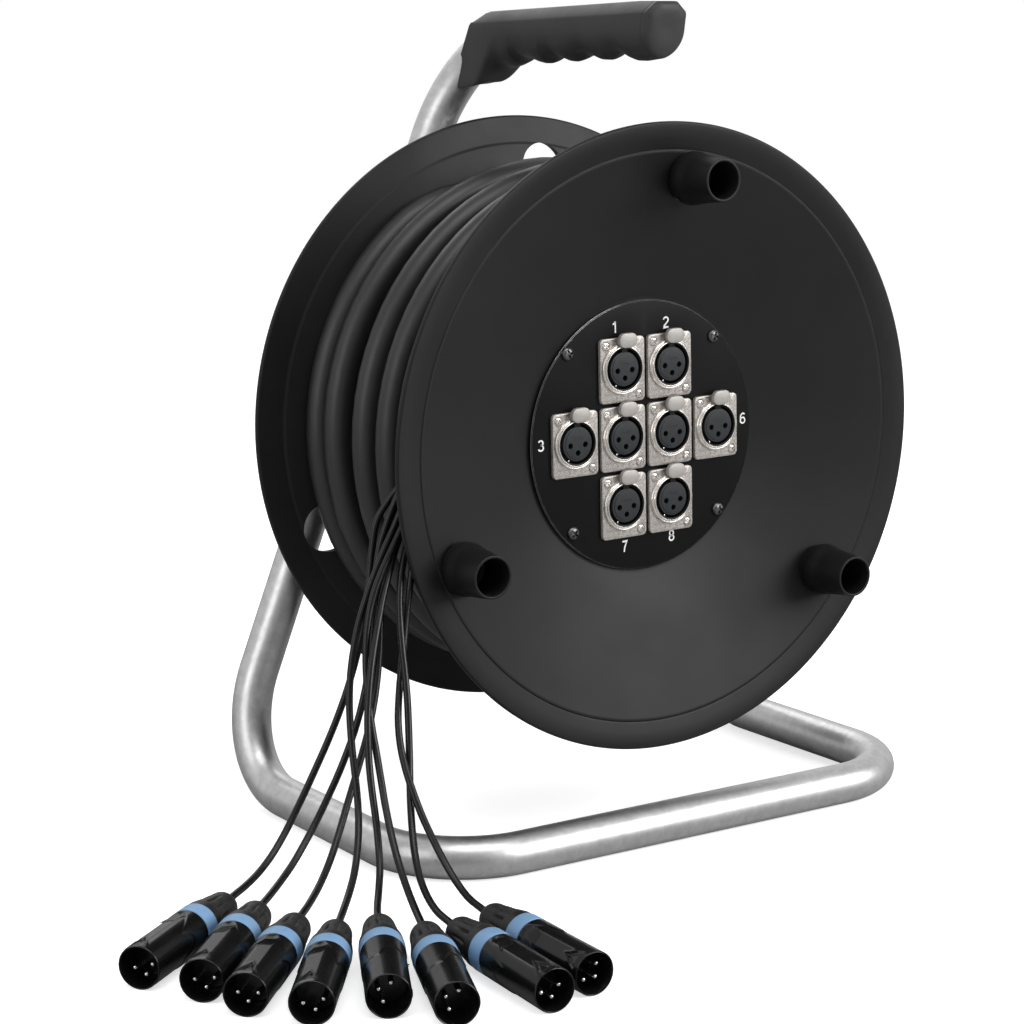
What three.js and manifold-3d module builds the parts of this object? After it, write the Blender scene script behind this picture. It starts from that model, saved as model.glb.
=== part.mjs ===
// Stage box snake: a cable drum on a bent tube stand, with a connector panel in
// its hub and a fan of eight plugs at the end of the wound multicore.
// Millimetres, +Z up, the drum's axle runs along Y, the panel faces -Y.

import * as THREE from 'three';
import { mergeVertices } from 'three/addons/utils/BufferGeometryUtils.js';
import Module from 'manifold-3d';

const wasm = await Module();
wasm.setup();

// Clearances
const turned = 0.3;
const moulded = 0.3;
const cordGap = 0.3;

// Facets
const roundSides = 44;
const smallSides = 18;
const socketSides = 16;
const pinSides = 6;
const plugSides = 12;
const tubeSides = 12;
const cordSides = 8;
const windSides = 6;
const cornerArcs = 1;

// Drum
const axleZ = 191;
const drumMidY = -3.9;
const flangeRadius = 150;
const rimHalf = 67.5;
const rimEdge = 1.2;
const rimDepth = 2.9;
const bandInset = 7;
const bandDrop = 0.7;
const stepInset = 13.6;
const stepWidth = 0.8;
const stepOuterDrop = 3.3;
const stepInnerDrop = 1.8;
const hubRadius = 70;
const hubHalf = 45.7;
const wall = 3;
const panelOpening = 56.5;
const bushOpening = 20;
const barrelShare = 0.48;

// Pegs on the front flange
const pegInset = 26;
const pegAngles = [83.2, 203.2, 323.2];
const pegHole = 11;
const pegBase = 12;
const pegTip = 10;
const pegWall = 1.5;
const pegHeight = 27.24;
const pegFloor = 4.94;
const pegFoot = 10.06;
const pegBack = 4.06;
const beadRadius = 12.9;
const beadTop = 8.54;
const beadFoot = 4.34;

// Wound multicore
const multicore = 13.8;
const windInset = 27;
const coreInset = 8.6;
const laneGap = 0.77;
const laneShares = [1, 0.711, 0.187, -0.255, -0.689];
const stepsPerTurn = 24;
const crossStart = 62;
const crossSweep = 45;
const windStart = 125;

// Loose end of the multicore and its fan-out sleeve
const leadShare = -0.996;
const leadStart = 92;
const leadLift = 130;
const leadEnd = 169;
const leadOut = 10.96;
const leadSteps = 6;
const sleeveLength = 20;
const sleeveTop = 7.9;
const sleeveFoot = 9.1;
const sleeveFootZ = 184.3;

// Tails
const tailRadius = 1.65;
const tailSteps = 22;
const tailPoints = [
  [[-134.5, -47.8, 184.0], [-134.5, -47.8, 180.0], [-138.8, -45.6, 173.7], [-144.3, -43.3, 163.9],
    [-147.0, -43.5, 152.7], [-149.0, -44.4, 141.3], [-151.0, -45.4, 130.0], [-153.6, -46.2, 118.7],
    [-156.8, -46.7, 107.6], [-160.5, -47.0, 96.6], [-164.7, -47.2, 85.9], [-169.5, -47.3, 75.3],
    [-174.8, -47.4, 65.0], [-180.6, -47.7, 55.0], [-186.8, -48.6, 45.3], [-193.5, -50.1, 36.0],
    [-200.9, -52.6, 27.4], [-209.2, -56.1, 20.2], [-218.5, -60.7, 15.1], [-228.2, -66.3, 12.4],
    [-237.7, -72.9, 11.5]],
  [[-135.7, -51.3, 184.0], [-135.7, -51.3, 180.0], [-138.9, -50.6, 173.0], [-143.4, -49.8, 162.4],
    [-147.2, -49.7, 151.5], [-149.6, -50.6, 140.2], [-151.3, -52.1, 128.8], [-153.1, -53.6, 117.5],
    [-155.3, -54.9, 106.3], [-158.1, -56.0, 95.1], [-161.4, -56.8, 84.0], [-165.5, -57.6, 73.3],
    [-170.4, -58.2, 62.9], [-176.1, -59.1, 52.8], [-182.5, -60.4, 43.3], [-189.5, -62.5, 34.4],
    [-197.3, -65.5, 26.4], [-205.7, -69.8, 19.8], [-214.7, -75.2, 15.1], [-223.7, -82.0, 12.4],
    [-232.2, -89.8, 11.5]],
  [[-132.1, -50.4, 184.0], [-132.1, -50.4, 180.0], [-135.1, -49.4, 172.7], [-139.4, -47.8, 161.8],
    [-142.9, -47.3, 150.6], [-145.3, -48.2, 139.1], [-147.1, -50.0, 127.6], [-148.8, -52.3, 116.2],
    [-151.0, -54.8, 104.8], [-153.9, -57.5, 93.7], [-157.6, -60.3, 82.9], [-162.2, -63.1, 72.4],
    [-167.6, -66.1, 62.3], [-173.4, -69.4, 52.6], [-179.6, -73.4, 43.4], [-186.0, -78.1, 34.7],
    [-192.9, -83.6, 26.9], [-200.5, -89.8, 20.4], [-208.8, -96.7, 15.5], [-217.3, -104.2, 12.6],
    [-225.7, -112.4, 11.5]],
  [[-133.3, -53.9, 184.0], [-133.3, -53.9, 180.0], [-136.6, -54.1, 172.8], [-141.9, -54.5, 162.4],
    [-147.8, -55.0, 152.3], [-153.3, -55.7, 142.0], [-158.5, -56.7, 131.6], [-163.3, -58.0, 120.9],
    [-167.2, -59.8, 110.1], [-170.4, -62.1, 99.1], [-172.9, -65.1, 88.0], [-174.7, -68.7, 77.1],
    [-176.3, -73.1, 66.3], [-177.9, -78.1, 55.9], [-180.1, -83.7, 45.8], [-183.5, -89.8, 36.5],
    [-188.3, -96.5, 28.1], [-194.3, -103.7, 21.2], [-201.4, -111.3, 16.0], [-209.0, -119.7, 12.7],
    [-216.3, -128.7, 11.5]],
  [[-129.7, -53.1, 184.0], [-129.7, -53.1, 180.0], [-132.5, -53.3, 173.1], [-137.1, -54.2, 162.8],
    [-142.1, -55.9, 153.0], [-147.3, -58.8, 143.4], [-152.5, -62.1, 133.9], [-157.3, -65.9, 124.4],
    [-161.8, -69.6, 114.7], [-165.9, -73.2, 104.9], [-169.3, -76.6, 94.7], [-172.1, -79.8, 84.3],
    [-174.1, -83.2, 73.7], [-175.6, -86.6, 63.0], [-176.6, -90.4, 52.4], [-177.6, -94.8, 42.1],
    [-179.5, -100.0, 32.3], [-182.6, -106.3, 23.5], [-187.6, -113.7, 16.8], [-193.5, -122.4, 12.8],
    [-199.1, -132.1, 11.5]],
  [[-130.9, -56.6, 184.0], [-130.9, -56.6, 180.0], [-134.2, -57.2, 172.9], [-140.0, -58.4, 162.8],
    [-146.4, -59.5, 153.1], [-152.6, -60.5, 143.3], [-158.0, -61.9, 132.9], [-161.9, -63.9, 122.1],
    [-164.8, -66.6, 111.1], [-166.8, -70.0, 100.1], [-168.2, -74.0, 89.2], [-169.4, -78.7, 78.6],
    [-170.4, -84.0, 68.2], [-171.8, -89.8, 58.2], [-173.6, -96.2, 48.5], [-175.4, -103.2, 39.3],
    [-177.3, -111.0, 30.9], [-179.3, -119.7, 23.4], [-181.6, -129.4, 17.3], [-184.5, -139.9, 13.1],
    [-188.4, -150.8, 11.5]],
  [[-127.3, -55.7, 184.0], [-127.3, -55.7, 180.0], [-129.9, -56.0, 172.7], [-134.2, -57.0, 162.0],
    [-139.0, -59.0, 151.6], [-143.3, -62.2, 141.3], [-146.6, -66.1, 130.8], [-148.8, -70.2, 120.2],
    [-150.3, -74.3, 109.4], [-151.5, -78.4, 98.6], [-152.8, -82.1, 87.7], [-154.4, -85.4, 76.7],
    [-156.3, -88.9, 65.8], [-158.7, -93.0, 55.1], [-161.7, -98.4, 45.3], [-165.0, -105.0, 36.2],
    [-168.4, -112.7, 28.1], [-171.5, -121.5, 21.2], [-174.0, -131.5, 16.0], [-175.9, -142.5, 12.7],
    [-177.0, -154.0, 11.5]],
  [[-128.5, -59.2, 184.0], [-128.5, -59.2, 180.0], [-130.8, -59.8, 173.2], [-134.0, -61.1, 162.7],
    [-136.7, -62.9, 152.0], [-139.2, -64.2, 141.3], [-141.8, -65.6, 130.8], [-144.5, -67.5, 120.2],
    [-147.3, -70.0, 109.8], [-150.7, -73.1, 99.7], [-154.2, -77.0, 89.9], [-157.5, -81.6, 80.5],
    [-159.9, -87.1, 71.1], [-161.0, -93.1, 61.7], [-161.0, -99.2, 52.5], [-160.3, -105.2, 43.3],
    [-159.2, -111.8, 34.5], [-158.1, -119.0, 26.3], [-157.2, -127.3, 19.0], [-156.6, -136.9, 13.6],
    [-156.5, -147.7, 11.5]],
];

// Plugs: front x and y, the angle on the floor from the front to the boot, and the roll
const plugPlaces = [
  [-306.97, -124.32, 36.6, 16.4], [-292.41, -151.6, 45.7, 8.8], [-285.05, -175.06, 46.5, 1.1],
  [-267.9, -197.85, 53.3, 13], [-239.22, -208.51, 62.3, -112.4], [-221.5, -230.49, 67.4, -117.5],
  [-181.86, -240.12, 86.7, 13.1], [-158.28, -234, 88.8, 43.7],
];
const plugLength = 86;
const plugRise = 1.95;
const shellFront = 9.5;
const shellRear = 10;
const shellLength = 51.2;
const cupRadius = 8.6;
const cupDepth = 15;
const pinRing = 4.27;
const pinRadius = 1.2;
const pinLength = 11.5;
const pinAngles = [-7.5, 187.5, 270];
const ringRadius = 10.4;
const ringWidth = 7;
const bootRadius = 9.9;
const bootEnd = 4.6;
const bootShoulder = 5;

// Stand
const tubeRadius = 10;
const railX = 145.3;
const frontY = -89;
const legY = 89;
const cornerBend = 48;
const cornerSteps = 5;
const footRun = 40;
const footPull = 30;
const footRise = 56.4;
const footSteps = 7;
const legFootX = 137;
const legSlope = 0.4;
const gripX = -12;
const gripZ = 379;
const gripTilt = 3;
const topBend = 55;
const topSteps = 7;
const topShare = 0.86;
const crossBend = 40;
const stubOverlap = 12;

// Grip
const gripHalf = 14.2;
const gripChamfer = 3.2;
const gripCrown = 5.2;
const gripCrownRun = 6;
const crownRear = [54, 392.4];
const crownFront = [-71, 395.7];
const gripProfile = [
  [60, 386.2], crownRear, [0, 393.9], crownFront, [-86.8, 395.4], [-95.2, 392.9], [-97.3, 389],
  [-96.3, 383.6], [-92.9, 376.6], [-88.3, 371.4], [-82.5, 368.9], [-70.5, 369.2], [-59.5, 372],
  [-47.7, 368.9], [-35, 371.4], [-22.1, 368], [-11.6, 371.2], [0.8, 367.1], [13.6, 369.3],
  [22.8, 363.4], [29.5, 358.7], [74.4, 353.9],
];

// Axle
const axleRadius = 8;
const axleFront = -2;
const axleRear = 98.4;
const nutAcross = 13;
const nutFront = 2;
const nutRear = 11;
const bushFlange = 30;
const bushPlate = 4;
const washerRadius = 16;
const washerThick = 2;
const bracketRadius = 19;
const bracketRear = 85;

// Panel and connectors
const panelRadius = 65.3;
const panelThick = 1.7;
const panelTurn = 1.1;
const pitchX = 27.94;
const pitchZ = 32.95;
const panelSlots = [
  [-0.5, 1], [0.5, 1], [-1.5, 0], [-0.5, 0], [0.5, 0], [1.5, 0], [-0.5, -1], [0.5, -1],
];
const cutoutRadius = 12.3;
const plateWidth = 26;
const plateHeight = 31;
const plateCorner = 3;
const plateThick = 1.7;
const ringOuter = 12.5;
const ringRise = 3.6;
const boreRadius = 10.5;
const boreDepth = 11.9;
const insertRadius = 8.15;
const insertRise = 2.3;
const bodyRadius = 12;
const bodyDepth = 24.9;
const holeRadius = 1.5;
const holeDepth = 7.9;
const latchWidth = 10.5;
const latchHeight = 7;
const latchZ = 13.6;
const latchRise = 4.6;
const latchThick = 2.1;
const pocketRise = 1;

// Colours
const zinc = { color: 0x9a9b9c, roughness: 0.42, metalness: 0.85 };
const steel = { color: 0xb4b6b8, roughness: 0.3, metalness: 0.95 };
const blackMoulding = { color: 0x17181b, roughness: 0.45, metalness: 0 };
const gripPlastic = { color: 0x1d1f22, roughness: 0.42, metalness: 0 };
const cableJacket = { color: 0x141415, roughness: 0.62, metalness: 0 };
const panelBlack = { color: 0x111214, roughness: 0.5, metalness: 0.1 };
const nickel = { color: 0xa8a69f, roughness: 0.36, metalness: 0.9 };
const paleNickel = { color: 0xc2beb8, roughness: 0.48, metalness: 0.8 };
const shellBlack = { color: 0x121315, roughness: 0.2, metalness: 0.4 };
const bootBlue = { color: 0x6c93bd, roughness: 0.45, metalness: 0 };
const naturalNylon = { color: 0xd8d6cc, roughness: 0.5, metalness: 0 };

// Sizes that follow from those above
const barrelRadius = barrelShare * flangeRadius;
const bandRadius = flangeRadius - bandInset;
const stepRadius = flangeRadius - stepInset;
const pegRing = flangeRadius - pegInset;
const windRadius = flangeRadius - windInset;
const coreRadius = windRadius - coreInset;
const outsideSlope = (rimHalf - stepInnerDrop - hubHalf) / (stepRadius - stepWidth - hubRadius);
const pegFaceY = drumMidY - hubHalf - (pegRing - hubRadius) * outsideSlope;
const insideSlope = (rimHalf - stepOuterDrop - hubHalf) / (stepRadius - hubRadius);
const laneHalf = insideHalf(windRadius) - multicore / 2 - laneGap;
const windTurns = laneShares.map((share) => drumMidY + share * laneHalf);
const leadY = drumMidY + leadShare * laneHalf;

const bushFront = nutRear + turned;
const bushRear = drumMidY + hubHalf + moulded + bushPlate;
const panelBack = drumMidY - hubHalf - moulded;
const panelFront = panelBack - panelThick;
const plateBack = panelFront - moulded;
const plateFront = plateBack - plateThick;
const ringFront = plateBack - ringRise;
const boreFloor = plateBack + boreDepth;
const insertFront = plateBack - insertRise;
const bodyRear = plateBack + bodyDepth;
const holeFloor = plateBack + holeDepth;
const latchFront = plateBack - latchRise;
const latchBack = latchFront + latchThick;
const pocketFloor = plateBack - pocketRise;

const rad = THREE.MathUtils.degToRad;
const part = new THREE.Group();
part.name = 'stage_box_snake';

function add(name, geometry, look) {
  const mesh = new THREE.Mesh(geometry, new THREE.MeshStandardMaterial(look));
  mesh.name = name;
  part.add(mesh);
}

// Half the clear width between the dished flanges at a radius
function insideHalf(radius) {
  return hubHalf - wall + (radius - hubRadius) * insideSlope;
}

// Solids and booleans
function weld(geometry) {
  geometry.deleteAttribute('normal');
  geometry.deleteAttribute('uv');
  return mergeVertices(geometry);
}

function toSolid(geometry) {
  const clean = weld(geometry.clone());
  return new wasm.Manifold(new wasm.Mesh({
    numProp: 3,
    vertProperties: new Float32Array(clean.attributes.position.array),
    triVerts: new Uint32Array(clean.index.array),
  }));
}

function toGeometry(solid) {
  const mesh = solid.getMesh();
  const geometry = new THREE.BufferGeometry();
  geometry.setAttribute('position', new THREE.BufferAttribute(mesh.vertProperties, 3));
  geometry.setIndex(new THREE.BufferAttribute(mesh.triVerts, 1));
  return geometry;
}

// A revolve about Y from points of radius and height, in either winding
function revolve(profile, sides) {
  const points = profile.map(([radius, height]) => new THREE.Vector2(radius, height));
  const area = points.reduce((sum, point, i) => {
    const next = points[(i + 1) % points.length];
    return sum + point.x * next.y - next.x * point.y;
  }, 0);
  if (area < 0) points.reverse();
  const onAxis = points.findIndex((point, i) => {
    const last = points[(i + points.length - 1) % points.length];
    return point.x === 0 && last.x === 0;
  });
  const ordered = onAxis > 0 ? [...points.slice(onAxis), ...points.slice(0, onAxis)] : points;
  if (onAxis < 0) ordered.push(points[0].clone());
  return new THREE.LatheGeometry(ordered, sides);
}

function onAxle(geometry) {
  return geometry.translate(0, 0, axleZ);
}

// Rings of one round tube through chosen stations, mitred at each station
function sweep(stations, radius, sides, startNormal) {
  const positions = [];
  const faces = [];
  const last = stations.length - 1;
  const normal = startNormal.clone();
  const ringRadiusOut = radius / Math.cos(Math.PI / sides);
  stations.forEach((station, i) => {
    const before = stations[Math.max(i - 1, 0)];
    const after = stations[Math.min(i + 1, last)];
    const along = after.clone().sub(before).normalize();
    const into = station.clone().sub(before);
    const heading = (i === 0 ? after.clone().sub(station) : into).normalize();
    normal.sub(heading.clone().multiplyScalar(normal.dot(heading))).normalize();
    const side = heading.clone().cross(normal);
    for (let k = 0; k < sides; k += 1) {
      const angle = (k + 0.5) * 2 * Math.PI / sides;
      const offset = normal.clone().multiplyScalar(Math.cos(angle) * ringRadiusOut)
        .add(side.clone().multiplyScalar(Math.sin(angle) * ringRadiusOut));
      const slide = offset.dot(along) / heading.dot(along);
      offset.sub(heading.clone().multiplyScalar(slide));
      positions.push(...station.clone().add(offset).toArray());
    }
  });
  for (let i = 0; i < last; i += 1) {
    for (let k = 0; k < sides; k += 1) {
      const a = i * sides + k;
      const b = i * sides + (k + 1) % sides;
      faces.push(a, b, b + sides, a, b + sides, a + sides);
    }
  }
  for (let k = 1; k < sides - 1; k += 1) {
    faces.push(0, k + 1, k);
    faces.push(last * sides, last * sides + k, last * sides + k + 1);
  }
  const geometry = new THREE.BufferGeometry();
  geometry.setAttribute('position', new THREE.Float32BufferAttribute(positions, 3));
  geometry.setIndex(faces);
  return geometry;
}

// Points of a round bend of given radius at a corner between two straight runs
function bend(from, corner, to, radius, steps) {
  const arriving = corner.clone().sub(from).normalize();
  const leaving = to.clone().sub(corner).normalize();
  const turn = arriving.angleTo(leaving);
  const reach = radius * Math.tan(turn / 2);
  const start = corner.clone().sub(arriving.clone().multiplyScalar(reach));
  const inward = leaving.clone().sub(arriving.clone().multiplyScalar(leaving.dot(arriving))).normalize();
  const centre = start.clone().add(inward.clone().multiplyScalar(radius));
  return Array.from({ length: steps + 1 }, (_, i) => {
    const angle = turn * i / steps;
    return centre.clone().sub(inward.clone().multiplyScalar(radius * Math.cos(angle)))
      .add(arriving.clone().multiplyScalar(radius * Math.sin(angle)));
  });
}

const vec = (x, y, z) => new THREE.Vector3(x, y, z);

// Stand: one bent tube from the grip down to the base loop and up to the hub
function footBend(sign) {
  const lean = vec(-sign, 0, 1 / legSlope).normalize();
  const foot = vec(sign * legFootX, legY, tubeRadius + footRise);
  const start = vec(sign * railX, legY - footRun, tubeRadius);
  const curve = new THREE.CubicBezierCurve3(
    start, start.clone().add(vec(0, footPull, 0)),
    foot.clone().sub(lean.clone().multiplyScalar(footPull)), foot,
  );
  return curve.getPoints(footSteps);
}

function gripEnd() {
  const foot = vec(-legFootX, legY, tubeRadius + footRise);
  const corner = vec(gripX, legY, gripZ);
  const forward = vec(0, -Math.cos(rad(gripTilt)), Math.sin(rad(gripTilt)));
  const points = bend(foot, corner, corner.clone().add(forward), topBend, topSteps);
  return points.slice(0, Math.ceil(points.length * topShare));
}

function leftHalf() {
  return [
    ...gripEnd().reverse(),
    ...footBend(-1).reverse(),
    ...frontCorner(-1),
    vec(stubOverlap, frontY, tubeRadius),
  ];
}

function frontCorner(sign) {
  const corner = vec(sign * railX, frontY, tubeRadius);
  return bend(corner.clone().add(vec(0, 1, 0)), corner, corner.clone().sub(vec(sign, 0, 0)),
    cornerBend, cornerSteps);
}

function legXAt(height) {
  return legFootX - (height - tubeRadius - footRise) * legSlope;
}

function rightHalf() {
  const corner = vec(legXAt(axleZ), legY, axleZ);
  const foot = vec(legFootX, legY, tubeRadius + footRise);
  return [
    vec(-stubOverlap, frontY, tubeRadius),
    ...frontCorner(1).reverse(),
    ...footBend(1),
    ...bend(foot, corner, corner.clone().sub(vec(1, 0, 0)), crossBend, cornerSteps),
    vec(-legXAt(axleZ), legY, axleZ),
  ];
}

const down = vec(0, 0, -1);

function baseFirst(stations) {
  return stations[0].z > axleZ ? stations.slice().reverse() : stations;
}

function frameTube() {
  const left = toSolid(sweep(baseFirst(leftHalf()), tubeRadius, tubeSides, down));
  const right = toSolid(sweep(rightHalf(), tubeRadius, tubeSides, down));
  const bore = revolve([[0, legY - 2 * tubeRadius], [axleRadius + turned, legY - 2 * tubeRadius],
    [axleRadius + turned, legY + 2 * tubeRadius], [0, legY + 2 * tubeRadius]], smallSides);
  return toGeometry(left.add(right).subtract(toSolid(onAxle(bore))));
}

// Moulded grip on the tube's upper end
function handleGrip() {
  const outline = new THREE.Shape(gripProfile.map(([y, z]) => new THREE.Vector2(y, z)));
  const side = new THREE.ExtrudeGeometry(outline, { depth: 2 * gripHalf, bevelEnabled: false });
  side.applyMatrix4(new THREE.Matrix4().makeBasis(vec(0, 1, 0), vec(0, 0, 1), vec(1, 0, 0)));
  side.translate(gripX - gripHalf, 0, 0);
  const section = new THREE.Shape();
  const top = crownRear[1] + crownRear[0] * crownSlope() - gripZ;
  const foot = Math.min(...gripProfile.map(([, z]) => z)) - gripChamfer - gripZ;
  section.moveTo(-gripHalf + gripChamfer, foot);
  section.lineTo(gripHalf - gripChamfer, foot);
  section.lineTo(gripHalf, foot + gripChamfer);
  section.lineTo(gripHalf, top - gripCrown);
  section.lineTo(gripHalf - gripCrownRun, top);
  section.lineTo(-gripHalf + gripCrownRun, top);
  section.lineTo(-gripHalf, top - gripCrown);
  section.lineTo(-gripHalf, foot + gripChamfer);
  const length = 2 * (legY - frontY);
  const prism = new THREE.ExtrudeGeometry(section, { depth: length, bevelEnabled: false });
  prism.translate(0, 0, -length / 2);
  prism.rotateX(Math.PI / 2 - Math.atan(crownSlope()));
  prism.translate(gripX, 0, gripZ);
  const bore = toSolid(sweep(baseFirst(boreStations()), tubeRadius + moulded, tubeSides, down));
  return toGeometry(toSolid(side).intersect(toSolid(prism)).subtract(bore));
}

// The crown's rise forward, as a slope
function crownSlope() {
  return (crownFront[1] - crownRear[1]) / (crownRear[0] - crownFront[0]);
}

function boreStations() {
  const stations = gripEnd();
  const end = stations[stations.length - 1];
  const before = stations[stations.length - 2];
  const further = end.clone().sub(before).setLength(turned);
  const foot = vec(-legFootX, legY, tubeRadius + footRise);
  return [foot, ...stations.slice(0, -1), end.clone().add(further)];
}

// Flanges: one dished moulding used twice, as profile points of radius and half width
function flangeOutside() {
  return [
    [hubRadius, hubHalf], [stepRadius - stepWidth, rimHalf - stepInnerDrop],
    [stepRadius, rimHalf - stepInnerDrop], [stepRadius + stepWidth, rimHalf - stepOuterDrop],
    [bandRadius, rimHalf - bandDrop], [flangeRadius - rimEdge, rimHalf],
    [flangeRadius, rimHalf - rimEdge],
  ];
}

function flangeInside() {
  return [
    [flangeRadius, rimHalf - rimDepth], [stepRadius, rimHalf - stepOuterDrop - wall],
    [hubRadius, hubHalf - wall],
  ];
}

function flangeShell(opening, sign) {
  const points = [[opening, hubHalf], ...flangeOutside(), ...flangeInside(), [opening, hubHalf - wall]];
  return onAxle(revolve(points.map(([radius, y]) => [radius, drumMidY + sign * y]), roundSides));
}

function pegPlace(angle) {
  return [pegRing * Math.cos(rad(angle)), axleZ + pegRing * Math.sin(rad(angle))];
}

function pegHoles(radius) {
  return pegAngles.map((angle) => {
    const [x, z] = pegPlace(angle);
    const reach = 2 * rimHalf;
    const hole = revolve([[0, -reach], [radius, -reach], [radius, reach], [0, reach]], smallSides);
    return toSolid(hole.translate(x, 0, z));
  });
}

function flange(opening, sign) {
  const holes = pegHoles(pegHole);
  return toGeometry(holes.reduce((solid, hole) => solid.subtract(hole),
    toSolid(flangeShell(opening, sign))));
}

// Everything behind the front flange's outer face, with the gap that a peg keeps from it
function behindFlange() {
  const face = flangeOutside().map(([radius, half]) => [radius, drumMidY - half - moulded]);
  const edge = [flangeRadius, drumMidY];
  return toSolid(onAxle(revolve([[0, drumMidY - hubHalf - moulded], ...face, edge, [0, drumMidY]],
    roundSides)));
}

function pegs() {
  const cut = behindFlange();
  const tip = pegFaceY - pegHeight;
  const floor = pegFaceY - pegFloor;
  const foot = pegFaceY + pegFoot;
  const back = pegFaceY + pegBack;
  pegAngles.forEach((angle, i) => {
    const [x, z] = pegPlace(angle);
    const cup = revolve([
      [0, foot], [pegBase, foot], [beadRadius, pegFaceY - beadFoot],
      [beadRadius, pegFaceY - beadTop + pegWall], [pegBase, pegFaceY - beadTop],
      [pegTip, tip], [pegTip - pegWall, tip], [pegBase - 2 * pegWall, floor], [0, floor],
    ], smallSides);
    const spigot = revolve([
      [0, floor + pegWall], [pegHole - turned, floor + pegWall], [pegHole - turned, back], [0, back],
    ], smallSides);
    const solid = toSolid(cup.translate(x, 0, z)).subtract(cut).add(toSolid(spigot.translate(x, 0, z)));
    add(`cable_peg_${i + 1}`, toGeometry(solid), blackMoulding);
  });
}

function drumBarrel() {
  const end = hubHalf - wall - moulded;
  const inner = barrelRadius - wall;
  return onAxle(revolve([
    [inner, drumMidY - end], [barrelRadius, drumMidY - end],
    [barrelRadius, drumMidY + end], [inner, drumMidY + end],
  ], roundSides));
}

// Lower layers of cable, as one body that follows the dished flanges
function cableCore() {
  const inner = barrelRadius + moulded;
  const halfAt = (radius) => insideHalf(radius) - 2 * moulded;
  return onAxle(revolve([
    [inner, drumMidY - halfAt(inner)], [coreRadius, drumMidY - halfAt(coreRadius)],
    [coreRadius, drumMidY + halfAt(coreRadius)], [inner, drumMidY + halfAt(inner)],
  ], roundSides));
}

// Outer layer of cable: one tube that crosses to its next place near the top
function windingPoints() {
  const step = 360 / stepsPerTurn;
  const points = [];
  const total = Math.floor((360 * windTurns.length - windStart + crossStart) / step);
  for (let i = 0; i <= total; i += 1) {
    const angle = windStart + i * step;
    const place = Math.min(Math.floor((angle - crossStart) / 360), windTurns.length - 1);
    const share = Math.min((angle - crossStart - 360 * place) / crossSweep, 1);
    const from = windTurns[Math.max(place - 1, 0)];
    const ease = share * share * (3 - 2 * share);
    const y = from + (windTurns[place] - from) * ease;
    points.push(vec(windRadius * Math.cos(rad(angle)), y, axleZ + windRadius * Math.sin(rad(angle))));
  }
  return points;
}

function windingPath() {
  const points = windingPoints();
  const last = points.length - 1;
  const tail = (point, angle, sign) => point.clone().add(
    vec(-Math.sin(rad(angle)), 0, Math.cos(rad(angle))).multiplyScalar(sign * multicore),
  );
  const endAngle = windStart + last * 360 / stepsPerTurn;
  return [tail(points[0], windStart, -1), ...points, tail(points[last], endAngle, 1)];
}

function leastSelfGap(path, diameter) {
  let least = Infinity;
  for (let i = 0; i < path.length; i += 1) {
    for (let k = i + stepsPerTurn / 2; k < path.length; k += 1) {
      least = Math.min(least, path[i].distanceTo(path[k]) - diameter);
    }
  }
  return least;
}

function cableWinding() {
  const path = windingPath();
  console.log(`cable_winding: least gap to itself ${leastSelfGap(path, multicore).toFixed(2)} mm`);
  const sideways = vec(0, 1, 0);
  const radius = multicore / 2 * Math.cos(Math.PI / windSides);
  return sweep(path, radius, windSides, sideways);
}

// Free end of the multicore, lying in the lane beside the front flange
function leadPoint(angle) {
  const share = Math.max(angle - leadLift, 0) / (leadEnd - leadLift);
  const radius = windRadius + leadOut * share * share;
  return vec(radius * Math.cos(rad(angle)), leadY, axleZ + radius * Math.sin(rad(angle)));
}

function leadPath() {
  const angles = Array.from({ length: leadSteps + 1 },
    (_, i) => leadStart + (leadEnd - leadStart) * i / leadSteps);
  const around = angles.map(leadPoint);
  const end = around[leadSteps].clone();
  end.z = sleeveFootZ + sleeveLength + cordGap;
  return [...around, end];
}

function multicoreEnd() {
  const radius = multicore / 2 * Math.cos(Math.PI / cordSides);
  return sweep(leadPath(), radius, cordSides, vec(0, 1, 0));
}

function fanOutSleeve() {
  const outline = [[0, 0], [sleeveFoot, 0], [sleeveTop, sleeveLength], [0, sleeveLength]];
  const geometry = revolve(outline, plugSides);
  return geometry.rotateX(Math.PI / 2).translate(leadPoint(leadEnd).x, leadY, sleeveFootZ);
}

function tails() {
  const circle = new THREE.Shape().absarc(0, 0, tailRadius, 0, 2 * Math.PI);
  tailPoints.forEach((points, i) => {
    const path = new THREE.CatmullRomCurve3(points.map((point) => vec(...point)), false, 'centripetal');
    const geometry = new THREE.ExtrudeGeometry(circle, {
      steps: tailSteps, extrudePath: path, curveSegments: cordSides / 2, bevelEnabled: false,
    });
    add(`tail_cable_${i + 1}`, weld(geometry), cableJacket);
  });
}

// Plugs lie on the floor; each is built along +Y, rolled, and then laid along its angle
function layPlug(geometry, [x, y, angle, roll]) {
  geometry.rotateY(-rad(roll));
  geometry.rotateX(Math.asin(plugRise / plugLength));
  geometry.rotateZ(rad(angle) - Math.PI / 2);
  return geometry.translate(x, y, shellFront);
}

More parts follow.
